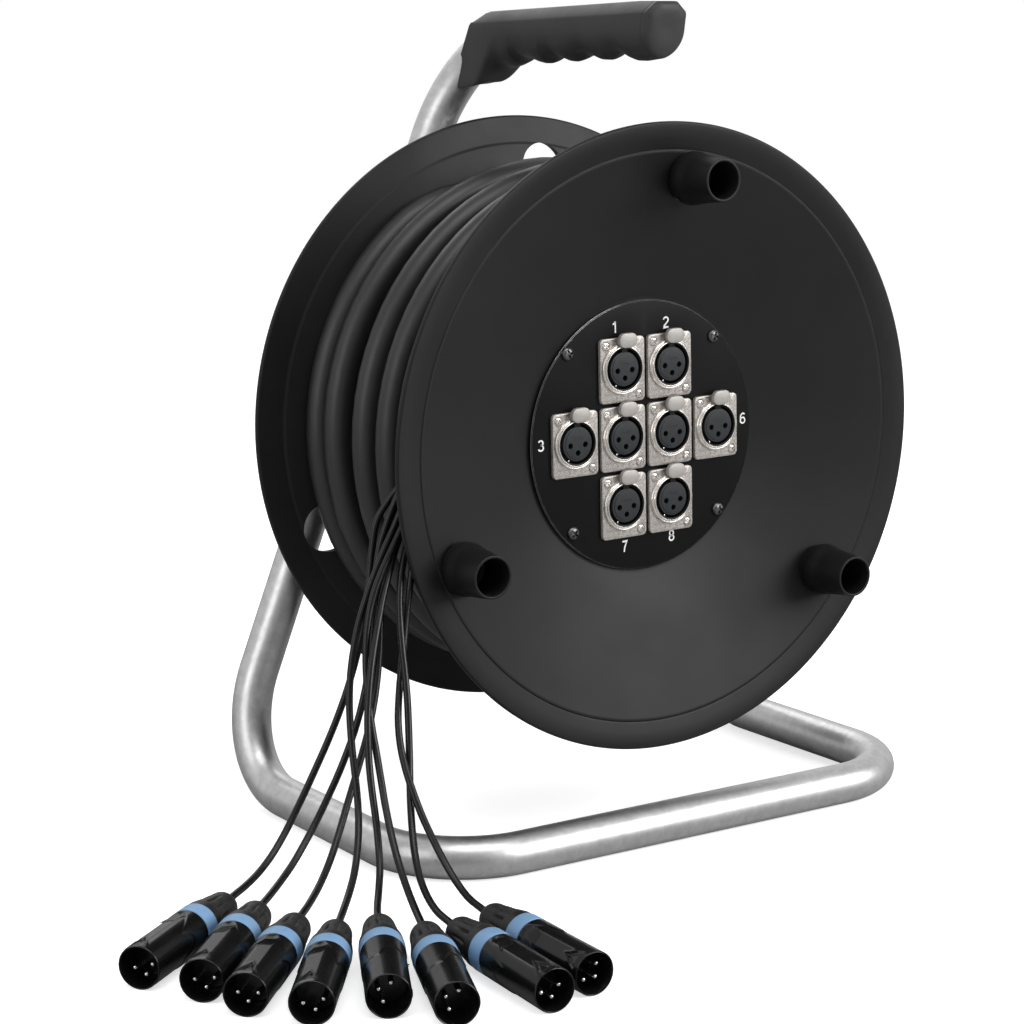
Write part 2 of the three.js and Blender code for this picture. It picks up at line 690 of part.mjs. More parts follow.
function plugShell(place) {
  const body = revolve([
    [0, cupDepth], [cupRadius, cupDepth], [cupRadius, 0], [shellFront, 0],
    [shellRear, shellLength], [0, shellLength],
  ], plugSides);
  const pin = () => revolve([
    [0, cupDepth - pinLength], [pinRadius, cupDepth - pinLength],
    [pinRadius, cupDepth + pinRadius], [0, cupDepth + pinRadius],
  ], pinSides);
  const solid = pinAngles.reduce((sum, angle) => {
    const offset = vec(pinRing * Math.cos(rad(angle)), 0, pinRing * Math.sin(rad(angle)));
    return sum.add(toSolid(pin().translate(...offset.toArray())));
  }, toSolid(body));
  return layPlug(toGeometry(solid), place);
}

function plugBoot(place) {
  const start = shellLength + turned;
  const ringEnd = start + ringWidth;
  return layPlug(revolve([
    [0, start], [ringRadius, start], [ringRadius, ringEnd], [bootRadius, ringEnd],
    [bootRadius, ringEnd + bootShoulder], [bootEnd, plugLength], [0, plugLength],
  ], plugSides), place);
}

function plugs() {
  plugPlaces.forEach((place, i) => {
    add(`plug_shell_${i + 1}`, plugShell(place), shellBlack);
    add(`plug_boot_${i + 1}`, plugBoot(place), bootBlue);
  });
}

// Axle: a pin welded in the cross tube, with a nut inside the barrel
function axlePin() {
  return onAxle(revolve([[0, axleFront], [axleRadius, axleFront], [axleRadius, axleRear], [0, axleRear]],
    smallSides));
}

function axleNut() {
  const drum = (radius, sides) => toSolid(onAxle(revolve([
    [0, nutFront], [radius, nutFront], [radius, nutRear], [0, nutRear],
  ], sides)));
  return toGeometry(drum(nutAcross, pinSides).subtract(drum(axleRadius + turned, smallSides)));
}

function hubBush() {
  const seat = drumMidY + hubHalf + moulded;
  return onAxle(revolve([
    [axleRadius + turned, bushFront], [bushOpening - turned, bushFront], [bushOpening - turned, seat],
    [bushFlange, seat], [bushFlange, bushRear], [axleRadius + turned, bushRear],
  ], smallSides));
}

function thrustWasher() {
  const start = bushRear + turned;
  return onAxle(revolve([
    [axleRadius + turned, start], [washerRadius, start],
    [washerRadius, start + washerThick], [axleRadius + turned, start + washerThick],
  ], smallSides));
}

function hubBracket() {
  const start = bushRear + washerThick + 2 * turned;
  const ring = onAxle(revolve([
    [axleRadius + turned, start], [bracketRadius, start],
    [bracketRadius, bracketRear], [axleRadius + turned, bracketRear],
  ], smallSides));
  const ends = [vec(-2 * bracketRadius, legY, axleZ), vec(2 * bracketRadius, legY, axleZ)];
  const saddle = sweep(ends, tubeRadius + turned, tubeSides, down);
  return toGeometry(toSolid(ring).subtract(toSolid(saddle)));
}

// Panel and its connectors, all turned together a little about the axle
function panelSpot([column, row]) {
  const turn = rad(panelTurn);
  const x = column * pitchX;
  const z = row * pitchZ;
  return [x * Math.cos(turn) - z * Math.sin(turn), axleZ + x * Math.sin(turn) + z * Math.cos(turn)];
}

function inPanel(geometry, slot) {
  const [x, z] = panelSpot(slot);
  return geometry.rotateY(-rad(panelTurn)).translate(x, 0, z);
}

// A flat outline in X and Z, given thickness along Y
function slab(shape, front, back, segments) {
  const geometry = new THREE.ExtrudeGeometry(shape, {
    depth: back - front, bevelEnabled: false, curveSegments: segments,
  });
  return geometry.rotateX(Math.PI / 2).translate(0, back, 0);
}

function connectorPanel() {
  const disc = new THREE.Shape().absarc(0, 0, panelRadius, 0, 2 * Math.PI);
  panelSlots.forEach(([column, row]) => {
    const hole = new THREE.Path().absarc(column * pitchX, row * pitchZ, cutoutRadius, 0, 2 * Math.PI, true);
    disc.holes.push(hole);
  });
  return weld(inPanel(slab(disc, panelFront, panelBack, roundSides / 4), [0, 0]));
}

function roundedPlate(width, height, corner) {
  const x = width / 2 - corner;
  const z = height / 2 - corner;
  const shape = new THREE.Shape();
  shape.absarc(x, z, corner, 0, Math.PI / 2);
  shape.absarc(-x, z, corner, Math.PI / 2, Math.PI);
  shape.absarc(-x, -z, corner, Math.PI, 1.5 * Math.PI);
  shape.absarc(x, -z, corner, 1.5 * Math.PI, 2 * Math.PI);
  return shape;
}

function latchShape(gap) {
  const width = latchWidth + 2 * gap;
  const height = latchHeight + 2 * gap;
  return roundedPlate(width, height, height / 3);
}

function connectorSolid() {
  const plate = slab(roundedPlate(plateWidth, plateHeight, plateCorner), plateFront, plateBack, cornerArcs);
  const body = revolve([
    [0, bodyRear], [bodyRadius, bodyRear], [bodyRadius, plateBack], [ringOuter, plateBack],
    [ringOuter, ringFront], [0, ringFront],
  ], socketSides);
  const bore = revolve([
    [boreRadius, boreFloor], [boreRadius, latchFront], [0, latchFront], [0, insertFront],
    [insertRadius, insertFront], [insertRadius, boreFloor],
  ], socketSides);
  const pocket = slab(latchShape(turned), latchFront, pocketFloor, cornerArcs).translate(0, 0, latchZ);
  const holes = pinAngles.map((angle) => toSolid(revolve([
    [0, holeFloor], [holeRadius, holeFloor], [holeRadius, ringFront], [0, ringFront],
  ], pinSides).translate(pinRing * Math.cos(rad(angle)), 0, pinRing * Math.sin(rad(angle)))));
  const solid = toSolid(plate).add(toSolid(body)).subtract(toSolid(bore)).subtract(toSolid(pocket));
  return holes.reduce((sum, hole) => sum.subtract(hole), solid);
}

function connectors() {
  const socket = toGeometry(connectorSolid());
  const tab = weld(slab(latchShape(0), latchFront, latchBack, cornerArcs).translate(0, 0, latchZ));
  panelSlots.forEach((slot, i) => {
    add(`connector_${i + 1}`, inPanel(socket.clone(), slot), nickel);
    add(`latch_${i + 1}`, inPanel(tab.clone(), slot), paleNickel);
  });
}

add('frame_tube', frameTube(), zinc);
add('handle_grip', handleGrip(), gripPlastic);
add('axle_pin', weld(axlePin()), steel);
add('axle_nut', axleNut(), steel);
add('hub_bracket', hubBracket(), zinc);
add('thrust_washer', weld(thrustWasher()), naturalNylon);
add('hub_bush', weld(hubBush()), blackMoulding);
add('front_flange', flange(panelOpening, -1), blackMoulding);
add('rear_flange', flange(bushOpening, 1), blackMoulding);
add('drum_barrel', weld(drumBarrel()), blackMoulding);
add('cable_core', weld(cableCore()), cableJacket);
add('cable_winding', cableWinding(), cableJacket);
add('multicore_end', multicoreEnd(), cableJacket);
add('fan_out_sleeve', weld(fanOutSleeve()), cableJacket);
add('connector_panel', connectorPanel(), panelBlack);
pegs();
connectors();
tails();
plugs();

export default part;
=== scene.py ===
import math

import bmesh
import bpy
from mathutils import Matrix, Vector


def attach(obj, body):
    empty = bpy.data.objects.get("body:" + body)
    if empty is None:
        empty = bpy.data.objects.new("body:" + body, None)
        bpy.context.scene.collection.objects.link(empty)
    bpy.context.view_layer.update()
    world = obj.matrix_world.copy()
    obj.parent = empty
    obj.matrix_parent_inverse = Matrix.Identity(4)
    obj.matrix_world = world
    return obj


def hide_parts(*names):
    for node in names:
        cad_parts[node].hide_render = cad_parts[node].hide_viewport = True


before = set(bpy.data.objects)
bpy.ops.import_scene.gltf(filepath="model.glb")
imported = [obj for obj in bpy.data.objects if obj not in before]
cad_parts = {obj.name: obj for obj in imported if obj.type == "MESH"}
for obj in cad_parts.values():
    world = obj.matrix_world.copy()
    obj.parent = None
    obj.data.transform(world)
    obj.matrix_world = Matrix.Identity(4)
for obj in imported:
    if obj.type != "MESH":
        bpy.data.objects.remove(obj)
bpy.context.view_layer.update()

MM = 0.001
scene = bpy.context.scene

# Drum: each flange is a dish from its hub out to its rim, measured from the drum's middle
AXLE_Z, DRUM_Y = 191.0, -3.9
HUB_HALF, WALL = 45.7, 3.0
DISH_R, DISH_HALF = 135.5, 65.5
RIM_R, RIM_HALF = 150.0, 67.5
FRONT_OPENING, REAR_OPENING = 56.5, 20.0
PEG_RING = 124.0
PEG_ANGLES = [83.2, 203.2, 323.2]
FRONT_PEG_HOLE, REAR_PEG_HOLE = 11.0, 12.8

# Wound multicore: an outer layer in lanes, turns nested under it, and the layers below
CABLE = 13.8
WIND_R = 123.0
LANES = [45.9, 29.0, 2.0, -19.8, -38.2]
CROSS_START, CROSS_SWEEP = 62.0, 45.0
FEED_START, FEED_SWEEP, FEED_DEPTH = 85.0, 40.0, 14.0
WIND_START, WIND_END, WIND_STEP = 125.0, 1850.0, 5.0
NEST_R, NEST_SINK, NEST_SWEEP = 114.4, 6.0, 20.0
NEST_START, NEST_END = 115.0, 420.0
NEST_LANES = [-8.6, -29.4]
LOWER_R, LOWER_BULGE, LOWER_PITCH = 107.4, 6.9, 13.6
LOWER_FRONT, LOWER_REAR = -58.0, 50.2
CORE_R, CORE_FRONT, CORE_REAR = 73.0, -46.5, 38.5

# Loose end of the multicore and its fan-out sleeve
LEAD_Y = -53.5
LEAD_START, LEAD_LIFT, LEAD_END, LEAD_OUT = 92.0, 130.0, 169.0, 5.5
SLEEVE_FOOT, SLEEVE_TOP = 184.3, 204.3

# Panel and its sockets; cutters start at CLEAR, in front of all of it
CLEAR = -60.0
PANEL_R, PANEL_FRONT, PANEL_BACK = 65.3, -51.6, -49.9
PANEL_TURN = math.radians(1.1)
PITCH_X, PITCH_Z = 27.94, 32.95
SOCKET_SHIFT_X, SOCKET_SHIFT_Z = 0.7, 0.2
SLOTS = [(-0.5, 1), (0.5, 1), (-1.5, 0), (-0.5, 0), (0.5, 0), (1.5, 0), (-0.5, -1), (0.5, -1)]
PIN_ANGLES = [-7.5, 187.5, 270.0]
PIN_RING = 4.27
PLATE_FRONT, PLATE_BACK, PLATE_SCREW_X, PLATE_SCREW_Z = -53.6, -51.9, 9.6, 12.1
TAB_SHIFT, TAB_RISE = 1.4, 14.3
TAB_WIDE, TAB_HIGH, TAB_CORNER = 10.4, 7.0, 3.3
TAB_FRONT, TAB_BACK = -57.0, -54.9
BORE_RISE = 0.6
DIGIT_SIZE, DIGIT_STROKE, PRINT_DEPTH = 0.83, 0.44, 0.06

# Tails: each starts straight down from the sleeve, at TAIL_TOP over its first point here
TAIL_R = 1.65
TAIL_TOP = 184.0
TAILS = [
    [(-134.5, -47.8, 180.0), (-138.8, -45.6, 173.7), (-144.3, -43.3, 163.9), (-147.0, -43.5, 152.7),
     (-149.0, -44.4, 141.3), (-151.0, -45.4, 130.0), (-153.6, -46.2, 118.7), (-156.8, -46.7, 107.6),
     (-160.5, -47.0, 96.6), (-164.7, -47.2, 85.9), (-169.5, -47.3, 75.3), (-174.8, -47.4, 65.0),
     (-180.6, -47.7, 55.0), (-186.8, -48.6, 45.3), (-193.5, -50.1, 36.0), (-200.9, -52.6, 27.4),
     (-209.2, -56.1, 20.2), (-218.5, -60.7, 15.1), (-228.2, -66.3, 12.4), (-237.7, -72.9, 11.5)],
    [(-135.7, -51.3, 180.0), (-138.9, -50.6, 173.0), (-143.4, -49.8, 162.4), (-147.2, -49.7, 151.5),
     (-149.6, -50.6, 140.2), (-151.3, -52.1, 128.8), (-153.1, -53.6, 117.5), (-155.3, -54.9, 106.3),
     (-158.1, -56.0, 95.1), (-161.4, -56.8, 84.0), (-165.5, -57.6, 73.3), (-170.4, -58.2, 62.9),
     (-176.1, -59.1, 52.8), (-182.5, -60.4, 43.3), (-189.5, -62.5, 34.4), (-197.3, -65.5, 26.4),
     (-205.7, -69.8, 19.8), (-214.7, -75.2, 15.1), (-223.7, -82.0, 12.4), (-232.2, -89.8, 11.5)],
    [(-132.1, -50.4, 180.0), (-135.1, -49.4, 172.7), (-139.4, -47.8, 161.8), (-142.9, -47.3, 150.6),
     (-145.3, -48.2, 139.1), (-147.1, -50.0, 127.6), (-148.8, -52.3, 116.2), (-151.0, -54.8, 104.8),
     (-153.9, -57.5, 93.7), (-157.6, -60.3, 82.9), (-162.2, -63.1, 72.4), (-167.6, -66.1, 62.3),
     (-173.4, -69.4, 52.6), (-179.6, -73.4, 43.4), (-186.0, -78.1, 34.7), (-192.9, -83.6, 26.9),
     (-200.5, -89.8, 20.4), (-208.8, -96.7, 15.5), (-217.3, -104.2, 12.6), (-225.7, -112.4, 11.5)],
    [(-133.3, -53.9, 180.0), (-136.6, -54.1, 172.8), (-141.9, -54.5, 162.4), (-147.8, -55.0, 152.3),
     (-153.3, -55.7, 142.0), (-158.5, -56.7, 131.6), (-163.3, -58.0, 120.9), (-167.2, -59.8, 110.1),
     (-170.4, -62.1, 99.1), (-172.9, -65.1, 88.0), (-174.7, -68.7, 77.1), (-176.3, -73.1, 66.3),
     (-177.9, -78.1, 55.9), (-180.1, -83.7, 45.8), (-183.5, -89.8, 36.5), (-188.3, -96.5, 28.1),
     (-194.3, -103.7, 21.2), (-201.4, -111.3, 16.0), (-209.0, -119.7, 12.7), (-216.3, -128.7, 11.5)],
    [(-129.7, -53.1, 180.0), (-132.5, -53.3, 173.1), (-137.1, -54.2, 162.8), (-142.1, -55.9, 153.0),
     (-147.3, -58.8, 143.4), (-152.5, -62.1, 133.9), (-157.3, -65.9, 124.4), (-161.8, -69.6, 114.7),
     (-165.9, -73.2, 104.9), (-169.3, -76.6, 94.7), (-172.1, -79.8, 84.3), (-174.1, -83.2, 73.7),
     (-175.6, -86.6, 63.0), (-176.6, -90.4, 52.4), (-177.6, -94.8, 42.1), (-179.5, -100.0, 32.3),
     (-182.6, -106.3, 23.5), (-187.6, -113.7, 16.8), (-193.5, -122.4, 12.8), (-199.1, -132.1, 11.5)],
    [(-130.9, -56.6, 180.0), (-134.2, -57.2, 172.9), (-140.0, -58.4, 162.8), (-146.4, -59.5, 153.1),
     (-152.6, -60.5, 143.3), (-158.0, -61.9, 132.9), (-161.9, -63.9, 122.1), (-164.8, -66.6, 111.1),
     (-166.8, -70.0, 100.1), (-168.2, -74.0, 89.2), (-169.4, -78.7, 78.6), (-170.4, -84.0, 68.2),
     (-171.8, -89.8, 58.2), (-173.6, -96.2, 48.5), (-175.4, -103.2, 39.3), (-177.3, -111.0, 30.9),
     (-179.3, -119.7, 23.4), (-181.6, -129.4, 17.3), (-184.5, -139.9, 13.1), (-188.4, -150.8, 11.5)],
    [(-127.3, -55.7, 180.0), (-129.9, -56.0, 172.7), (-134.2, -57.0, 162.0), (-139.0, -59.0, 151.6),
     (-143.3, -62.2, 141.3), (-146.6, -66.1, 130.8), (-148.8, -70.2, 120.2), (-150.3, -74.3, 109.4),
     (-151.5, -78.4, 98.6), (-152.8, -82.1, 87.7), (-154.4, -85.4, 76.7), (-156.3, -88.9, 65.8),
     (-158.7, -93.0, 55.1), (-161.7, -98.4, 45.3), (-165.0, -105.0, 36.2), (-168.4, -112.7, 28.1),
     (-171.5, -121.5, 21.2), (-174.0, -131.5, 16.0), (-175.9, -142.5, 12.7), (-177.0, -154.0, 11.5)],
    [(-128.5, -59.2, 180.0), (-130.8, -59.8, 173.2), (-134.0, -61.1, 162.7), (-136.7, -62.9, 152.0),
     (-139.2, -64.2, 141.3), (-141.8, -65.6, 130.8), (-144.5, -67.5, 120.2), (-147.3, -70.0, 109.8),
     (-150.7, -73.1, 99.7), (-154.2, -77.0, 89.9), (-157.5, -81.6, 80.5), (-159.9, -87.1, 71.1),
     (-161.0, -93.1, 61.7), (-161.0, -99.2, 52.5), (-160.3, -105.2, 43.3), (-159.2, -111.8, 34.5),
     (-158.1, -119.0, 26.3), (-157.2, -127.3, 19.0), (-156.6, -136.9, 13.6), (-156.5, -147.7, 11.5)],
]

# Plugs: where each one's front is, its direction and its roll
PLUGS = [
    (-306.97, -124.32, 36.6, 16.4), (-292.41, -151.6, 45.7, 8.8), (-285.05, -175.06, 46.5, 1.1),
    (-267.9, -197.85, 53.3, 13.0), (-239.22, -208.51, 62.3, -112.4), (-221.5, -230.49, 67.4, -117.5),
    (-181.86, -240.12, 86.7, 13.1), (-158.28, -234.0, 88.8, 43.7),
]
PLUG_LENGTH, PLUG_TIP_RISE, PLUG_Z = 81.0, 0.4, 9.5
SHELL_END, SHELL_COLLAR, SHELL_SLIM, SHELL_FLAT, SHELL_ARCH = 44.0, 9.72, 9.42, 8.98, 23.0
CUP_R, CUP_DEPTH = 8.6, 15.0
RING_GAP, RING_WIDTH, RING_R = 0.3, 8.8, 9.75
IN_BOOT = [74.0, 65.0, 56.0]

# Stand
TUBE_R = 10.0
RAIL_X, FRONT_Y, LEG_Y = 145.3, -89.0, 89.0
CORNER_BEND = 48.0
FOOT_RUN, FOOT_PULL, FOOT_RISE, FOOT_X = 40.0, 30.0, 56.4, 137.0
LEG_SLOPE = 0.4
GRIP_X, GRIP_Z, GRIP_TILT = -12.0, 379.0, 3.0
TOP_BEND, CROSS_BEND = 55.0, 40.0
CROSS_OVERLAP = 6.0
WELD_R, WELD_X, WELD_LEAN, WELD_BEAD = 9.6, 14.0, 4.0, 1.5

# Grip: the lines that its crown and its foot follow, as (y, z) from the rear to the front
GRIP_TOP = [(60, 386.2), (56, 390.6), (51, 392.5), (30, 393.1), (0, 393.9), (-40, 394.9), (-71, 395.7),
            (-83, 395.5)]
GRIP_FOOT = [(90, 350.9), (86, 353.6), (80, 355.2), (74, 356.3), (66, 356.8), (60, 357.5), (54, 357.9),
             (52, 359.4), (50, 361.8), (48, 363.8), (46, 365.0), (44, 365.4), (38, 365.5), (34, 366.7),
             (32, 368.4), (28, 369.8), (24, 369.6), (20, 368.9), (16, 367.8), (12, 367.2), (8, 367.2),
             (6, 368.6), (4, 369.6), (0, 370.2), (-2, 370.4), (-6, 369.4), (-10, 368.3), (-14, 368.1),
             (-18, 369.0), (-20, 370.1), (-22, 370.9), (-26, 371.5), (-30, 371.0), (-32, 370.2),
             (-36, 369.1), (-42, 369.0), (-46, 370.8), (-48, 371.6), (-52, 372.2), (-56, 371.4),
             (-60, 369.7), (-64, 368.7), (-70, 368.6), (-82, 369.8)]
CROWN_REAR, CROWN_FRONT = (54.0, 392.4), (-71.0, 395.7)
GRIP_REAR_HALF, GRIP_FRONT_HALF = 14.2, 11.4
GRIP_WAIST, GRIP_SAG = 382.0, 4.4
BEVEL_DROP, BEVEL_WIDE = 5.6, 6.4
FOOT_ENDS, TOP_ENDS = (77.2, -79.0), (60.0, -83.6)
CREASE_Y, CREASE_DEPTH = -82.4, 0.5
CAP_Y, CAP_Z, CAP_DEPTH = -80.2, 383.5, 4.6

# Hub: the bore of what sits round the axle rod
HUB_BORE = 8.3

# Camera, fitted to the photograph: degrees, millimetres of lens, and its place in metres
VIEW_HEADING, VIEW_PITCH, VIEW_ROLL = 33.5, -10.51, -0.32
VIEW_LENS, VIEW_SENSOR = 89.19, 36.0
VIEW_PLACE = (-0.7192, -1.0231, 0.3778)

# Floor, room and lamps, in metres
FLOOR_R, FLOOR_LIFT, FLOOR_TONE, FLOOR_MIRRORED = 9.0, 0.66, 0.8, 0.36
ROOM_FILL, ROOM_FRONT, ROOM_BEHIND, ROOM_TURN = 0.45, 0.3, 0.7, 0.35
LAMP_TARGET = Vector((0, 0, 0.2))


def clamp(value):
    return min(max(value, 0.0), 1.0)


def ease(value):
    """A clamped share with a soft start and end."""
    share = clamp(value)
    return share * share * (3 - 2 * share)


def spun(radius, angle, y=0.0, height=0.0):
    """The point at a radius and an angle in degrees about a Y axis at some height."""
    turn = math.radians(angle)
    return radius * math.cos(turn), y, height + radius * math.sin(turn)


# Camera at the photograph's view
def make_camera():
    heading, pitch, roll = (math.radians(a) for a in (VIEW_HEADING, VIEW_PITCH, VIEW_ROLL))
    forward = Vector((math.sin(heading) * math.cos(pitch), math.cos(heading) * math.cos(pitch),
                      math.sin(pitch)))
    level = forward.cross(Vector((0, 0, 1))).normalized()
    right = level * math.cos(roll) + level.cross(forward) * math.sin(roll)
    data = bpy.data.cameras.new("view")
    data.lens, data.sensor_width = VIEW_LENS, VIEW_SENSOR
    data.clip_start, data.clip_end = 0.05, 50.0
    camera = bpy.data.objects.new("view", data)
    scene.collection.objects.link(camera)
    basis = Matrix((right, right.cross(forward), -forward)).transposed().to_4x4()
    camera.matrix_world = Matrix.Translation(VIEW_PLACE) @ basis
    scene.camera = camera


make_camera()


# Node materials
class Nodes:
    """A node tree, with short calls for what it is made of."""

    def __init__(self, tree):
        self.tree = tree

    def fill(self, sockets, inputs):
        """Each socket takes another node's output or a value of its own."""
        for key, value in inputs.items():
            if isinstance(value, bpy.types.NodeSocket):
                self.tree.links.new(value, sockets[key])
            else:
                sockets[key].default_value = value

    def node(self, kind, inputs=None):
        """The outputs of a new node with its inputs filled."""
        node = self.tree.nodes.new(kind)
        self.fill(node.inputs, inputs or {})
        return node.outputs

    def calculate(self, operation, *values):
        node = self.tree.nodes.new("ShaderNodeMath")
        node.operation = operation
        self.fill(node.inputs, dict(enumerate(values)))
        return node.outputs["Value"]

    def spread(self, value, low, high, start=0.3, end=0.7):
        """What a value from start to end becomes between low and high."""
        return self.node("ShaderNodeMapRange", {
            "Value": value, "From Min": start, "From Max": end, "To Min": low, "To Max": high})["Result"]


class Finish(Nodes):
    """A material's node tree, with the clouds, colours and bumps of its looks."""

    def __init__(self, name):
        self.material = bpy.data.materials.new(name)
        self.material.use_nodes = True
        super().__init__(self.material.node_tree)
        self.shader = self.tree.nodes["Principled BSDF"].inputs

    def noise(self, scale, detail=3.0, rough=0.55, stretch=1.0, distortion=0.0):
        """A cloudy value in the object's own coordinates, squeezed along Y by the stretch."""
        coords = self.node("ShaderNodeTexCoord")["Object"]
        if stretch != 1.0:
            inputs = {"Vector": coords, "Scale": (1.0, stretch, 1.0)}
            coords = self.node("ShaderNodeMapping", inputs)["Vector"]
        return self.node("ShaderNodeTexNoise", {
            "Scale": scale, "Detail": detail, "Roughness": rough, "Distortion": distortion,
            "Vector": coords})["Fac"]

    def ramp(self, value, *stops):
        """A colour between two stops, each a share and a colour."""
        node = self.tree.nodes.new("ShaderNodeValToRGB")
        for element, (share, colour) in zip(node.color_ramp.elements, stops):
            element.position = share
            element.color = (*colour, 1.0)
        self.fill(node.inputs, {"Fac": value})
        return node.outputs["Color"]

    def bump(self, height, depth):
        return self.node("ShaderNodeBump", {
            "Strength": 1.0, "Distance": depth * MM, "Height": height})["Normal"]

    def done(self, inputs):
        self.fill(self.shader, inputs)
        return self.material


def plastic(name, dark, light, rough, mottle, grain, grain_depth, specular=0.4, scuffs=0.0):
    """Moulded plastic or rubber: a slow colour drift, a fine moulded grain, uneven gloss."""
    finish = Finish(name)
    height = finish.noise(grain, 2.0, 0.6)
    if scuffs:
        marks = finish.noise(90.0, 6.0, 0.7, 6.0, 0.6)
        height = finish.calculate("MULTIPLY_ADD", marks, scuffs, height)
    return finish.done({
        "Base Color": finish.ramp(finish.noise(mottle, 4.0), (0.3, dark), (0.7, light)),
        "Roughness": finish.spread(finish.noise(mottle * 3.1, 5.0), *rough),
        "Normal": finish.bump(height, grain_depth), "Specular IOR Level": specular})


def metal(name, dark, light, rough, mottle, grain, grain_depth, metallic=1.0):
    """Plated metal: cloudy reflectance, uneven roughness and a very fine pitted grain."""
    finish = Finish(name)
    drift = finish.noise(mottle, 5.0, 0.6, distortion=0.4)
    return finish.done({
        "Base Color": finish.ramp(drift, (0.35, dark), (0.7, light)),
        "Roughness": finish.spread(finish.noise(mottle * 2.3, 5.0), *rough),
        "Normal": finish.bump(finish.noise(grain, 3.0, 0.65), grain_depth), "Metallic": metallic})


def grey(value):
    return (value, value, value)


ZINC = metal("zinc_tube", grey(0.58), grey(0.7), (0.36, 0.46), 210.0, 900.0, 0.006)
STEEL = metal("steel", grey(0.42), grey(0.6), (0.24, 0.4), 90.0, 1200.0, 0.01)
NICKEL = metal("nickel_plate", (0.2, 0.185, 0.175), (0.6, 0.56, 0.52), (0.3, 0.42), 1500.0, 2600.0, 0.05,
               metallic=0.5)
NICKEL_RING = metal("nickel_ring", (0.62, 0.58, 0.55), (0.8, 0.76, 0.72), (0.22, 0.27), 120.0, 2000.0,
                    0.0015, metallic=0.8)
TAB = metal("latch_tab", (0.3, 0.285, 0.265), (0.36, 0.34, 0.32), (0.45, 0.55), 380.0, 2200.0, 0.02,
            metallic=0.4)
PIN = metal("contact_pin", grey(0.7), grey(0.84), (0.12, 0.22), 300.0, 2400.0, 0.005)
SCREW = metal("panel_screw", grey(0.12), grey(0.17), (0.3, 0.38), 60.0, 1800.0, 0.004)
EDGE = metal("cut_edge", grey(0.4), grey(0.55), (0.3, 0.4), 200.0, 1800.0, 0.004)

DRUM = plastic("drum_plastic", grey(0.0045), grey(0.0075), (0.43, 0.49), 14.0, 1400.0, 0.012,
               specular=0.25, scuffs=0.2)
GRIP = plastic("grip_plastic", grey(0.028), grey(0.038), (0.42, 0.52), 26.0, 1100.0, 0.02,
               specular=0.24, scuffs=0.3)
JACKET = plastic("cable_jacket", grey(0.011), grey(0.016), (0.4, 0.47), 24.0, 900.0, 0.02,
                 specular=0.55, scuffs=0.4)
TAIL = plastic("tail_jacket", grey(0.003), grey(0.005), (0.24, 0.34), 60.0, 1600.0, 0.006, specular=0.35)
SLEEVE = plastic("sleeve_rubber", grey(0.014), grey(0.02), (0.5, 0.64), 24.0, 900.0, 0.02, specular=0.3)
PANEL = plastic("panel_lacquer", grey(0.004), grey(0.006), (0.3, 0.38), 12.0, 1700.0, 0.004, specular=0.09)
BORE = plastic("socket_bore", grey(0.003), grey(0.005), (0.3, 0.42), 200.0, 2000.0, 0.006, specular=0.15)
INSERT = plastic("socket_insert", (0.0145, 0.0155, 0.0175), (0.021, 0.0225, 0.025), (0.34, 0.46), 160.0,
                 2200.0, 0.01, specular=0.3)
SHELL = plastic("plug_lacquer", grey(0.003), grey(0.005), (0.2, 0.28), 70.0, 1500.0, 0.004, specular=0.32)
BOOT = plastic("plug_boot", grey(0.01), grey(0.016), (0.42, 0.54), 120.0, 1500.0, 0.015, specular=0.3)
BLUE = plastic("coding_ring", (0.16, 0.29, 0.47), (0.19, 0.33, 0.52), (0.42, 0.55), 160.0, 1500.0, 0.012)
NYLON = plastic("natural_nylon", (0.55, 0.53, 0.46), (0.62, 0.6, 0.53), (0.4, 0.5), 90.0, 1300.0, 0.02)
WHITE = plastic("panel_print", grey(0.62), grey(0.74), (0.4, 0.5), 400.0, 2500.0, 0.003)


# Mesh building
def soften(points, radii, steps=3):
    """The corners of a closed outline rounded: each by its own distance along its two edges."""
    out = []
    count = len(points)
    for i, point in enumerate(points):
        radius = radii[i] if isinstance(radii, (list, tuple)) else radii
        here = Vector(point)
        before, after = Vector(points[i - 1]) - here, Vector(points[(i + 1) % count]) - here
        reach = min(radius, 0.45 * before.length, 0.45 * after.length)
        if reach < 1e-4:
            out.append(tuple(here))
            continue
        a, b = here + before.normalized() * reach, here + after.normalized() * reach
        for k in range(steps + 1):
            t = k / steps
            out.append(tuple(a * (1 - t) ** 2 + here * 2 * t * (1 - t) + b * t ** 2))
    return out


def turned(outline, radii, sides, x=0.0, z=0.0):
    """A lathed part with softened corners."""
    return lathe(soften(outline, radii), sides, x, z)


def lathe(profile, sides, x=0.0, z=0.0):
    """A closed outline of (radius, y) turned about a Y axis through x, z."""
    verts, rings, faces = [], [], []
    for radius, y in profile:
        count = sides if radius else 1
        rings.append(list(range(len(verts), len(verts) + count)))
        for k in range(count):
            angle = 2 * math.pi * k / sides
            verts.append((x + radius * math.cos(angle), y, z + radius * math.sin(angle)))
    for a, b in zip(rings, rings[1:] + rings[:1]):
        if len(a) == 1 and len(b) == 1:
            continue
        for k in range(sides):
            j = (k + 1) % sides
            if len(a) == 1:
                faces.append((a[0], b[k], b[j]))
            elif len(b) == 1:
                faces.append((a[k], b[0], a[j]))
            else:
                faces.append((a[k], b[k], b[j], a[j]))
    return verts, faces


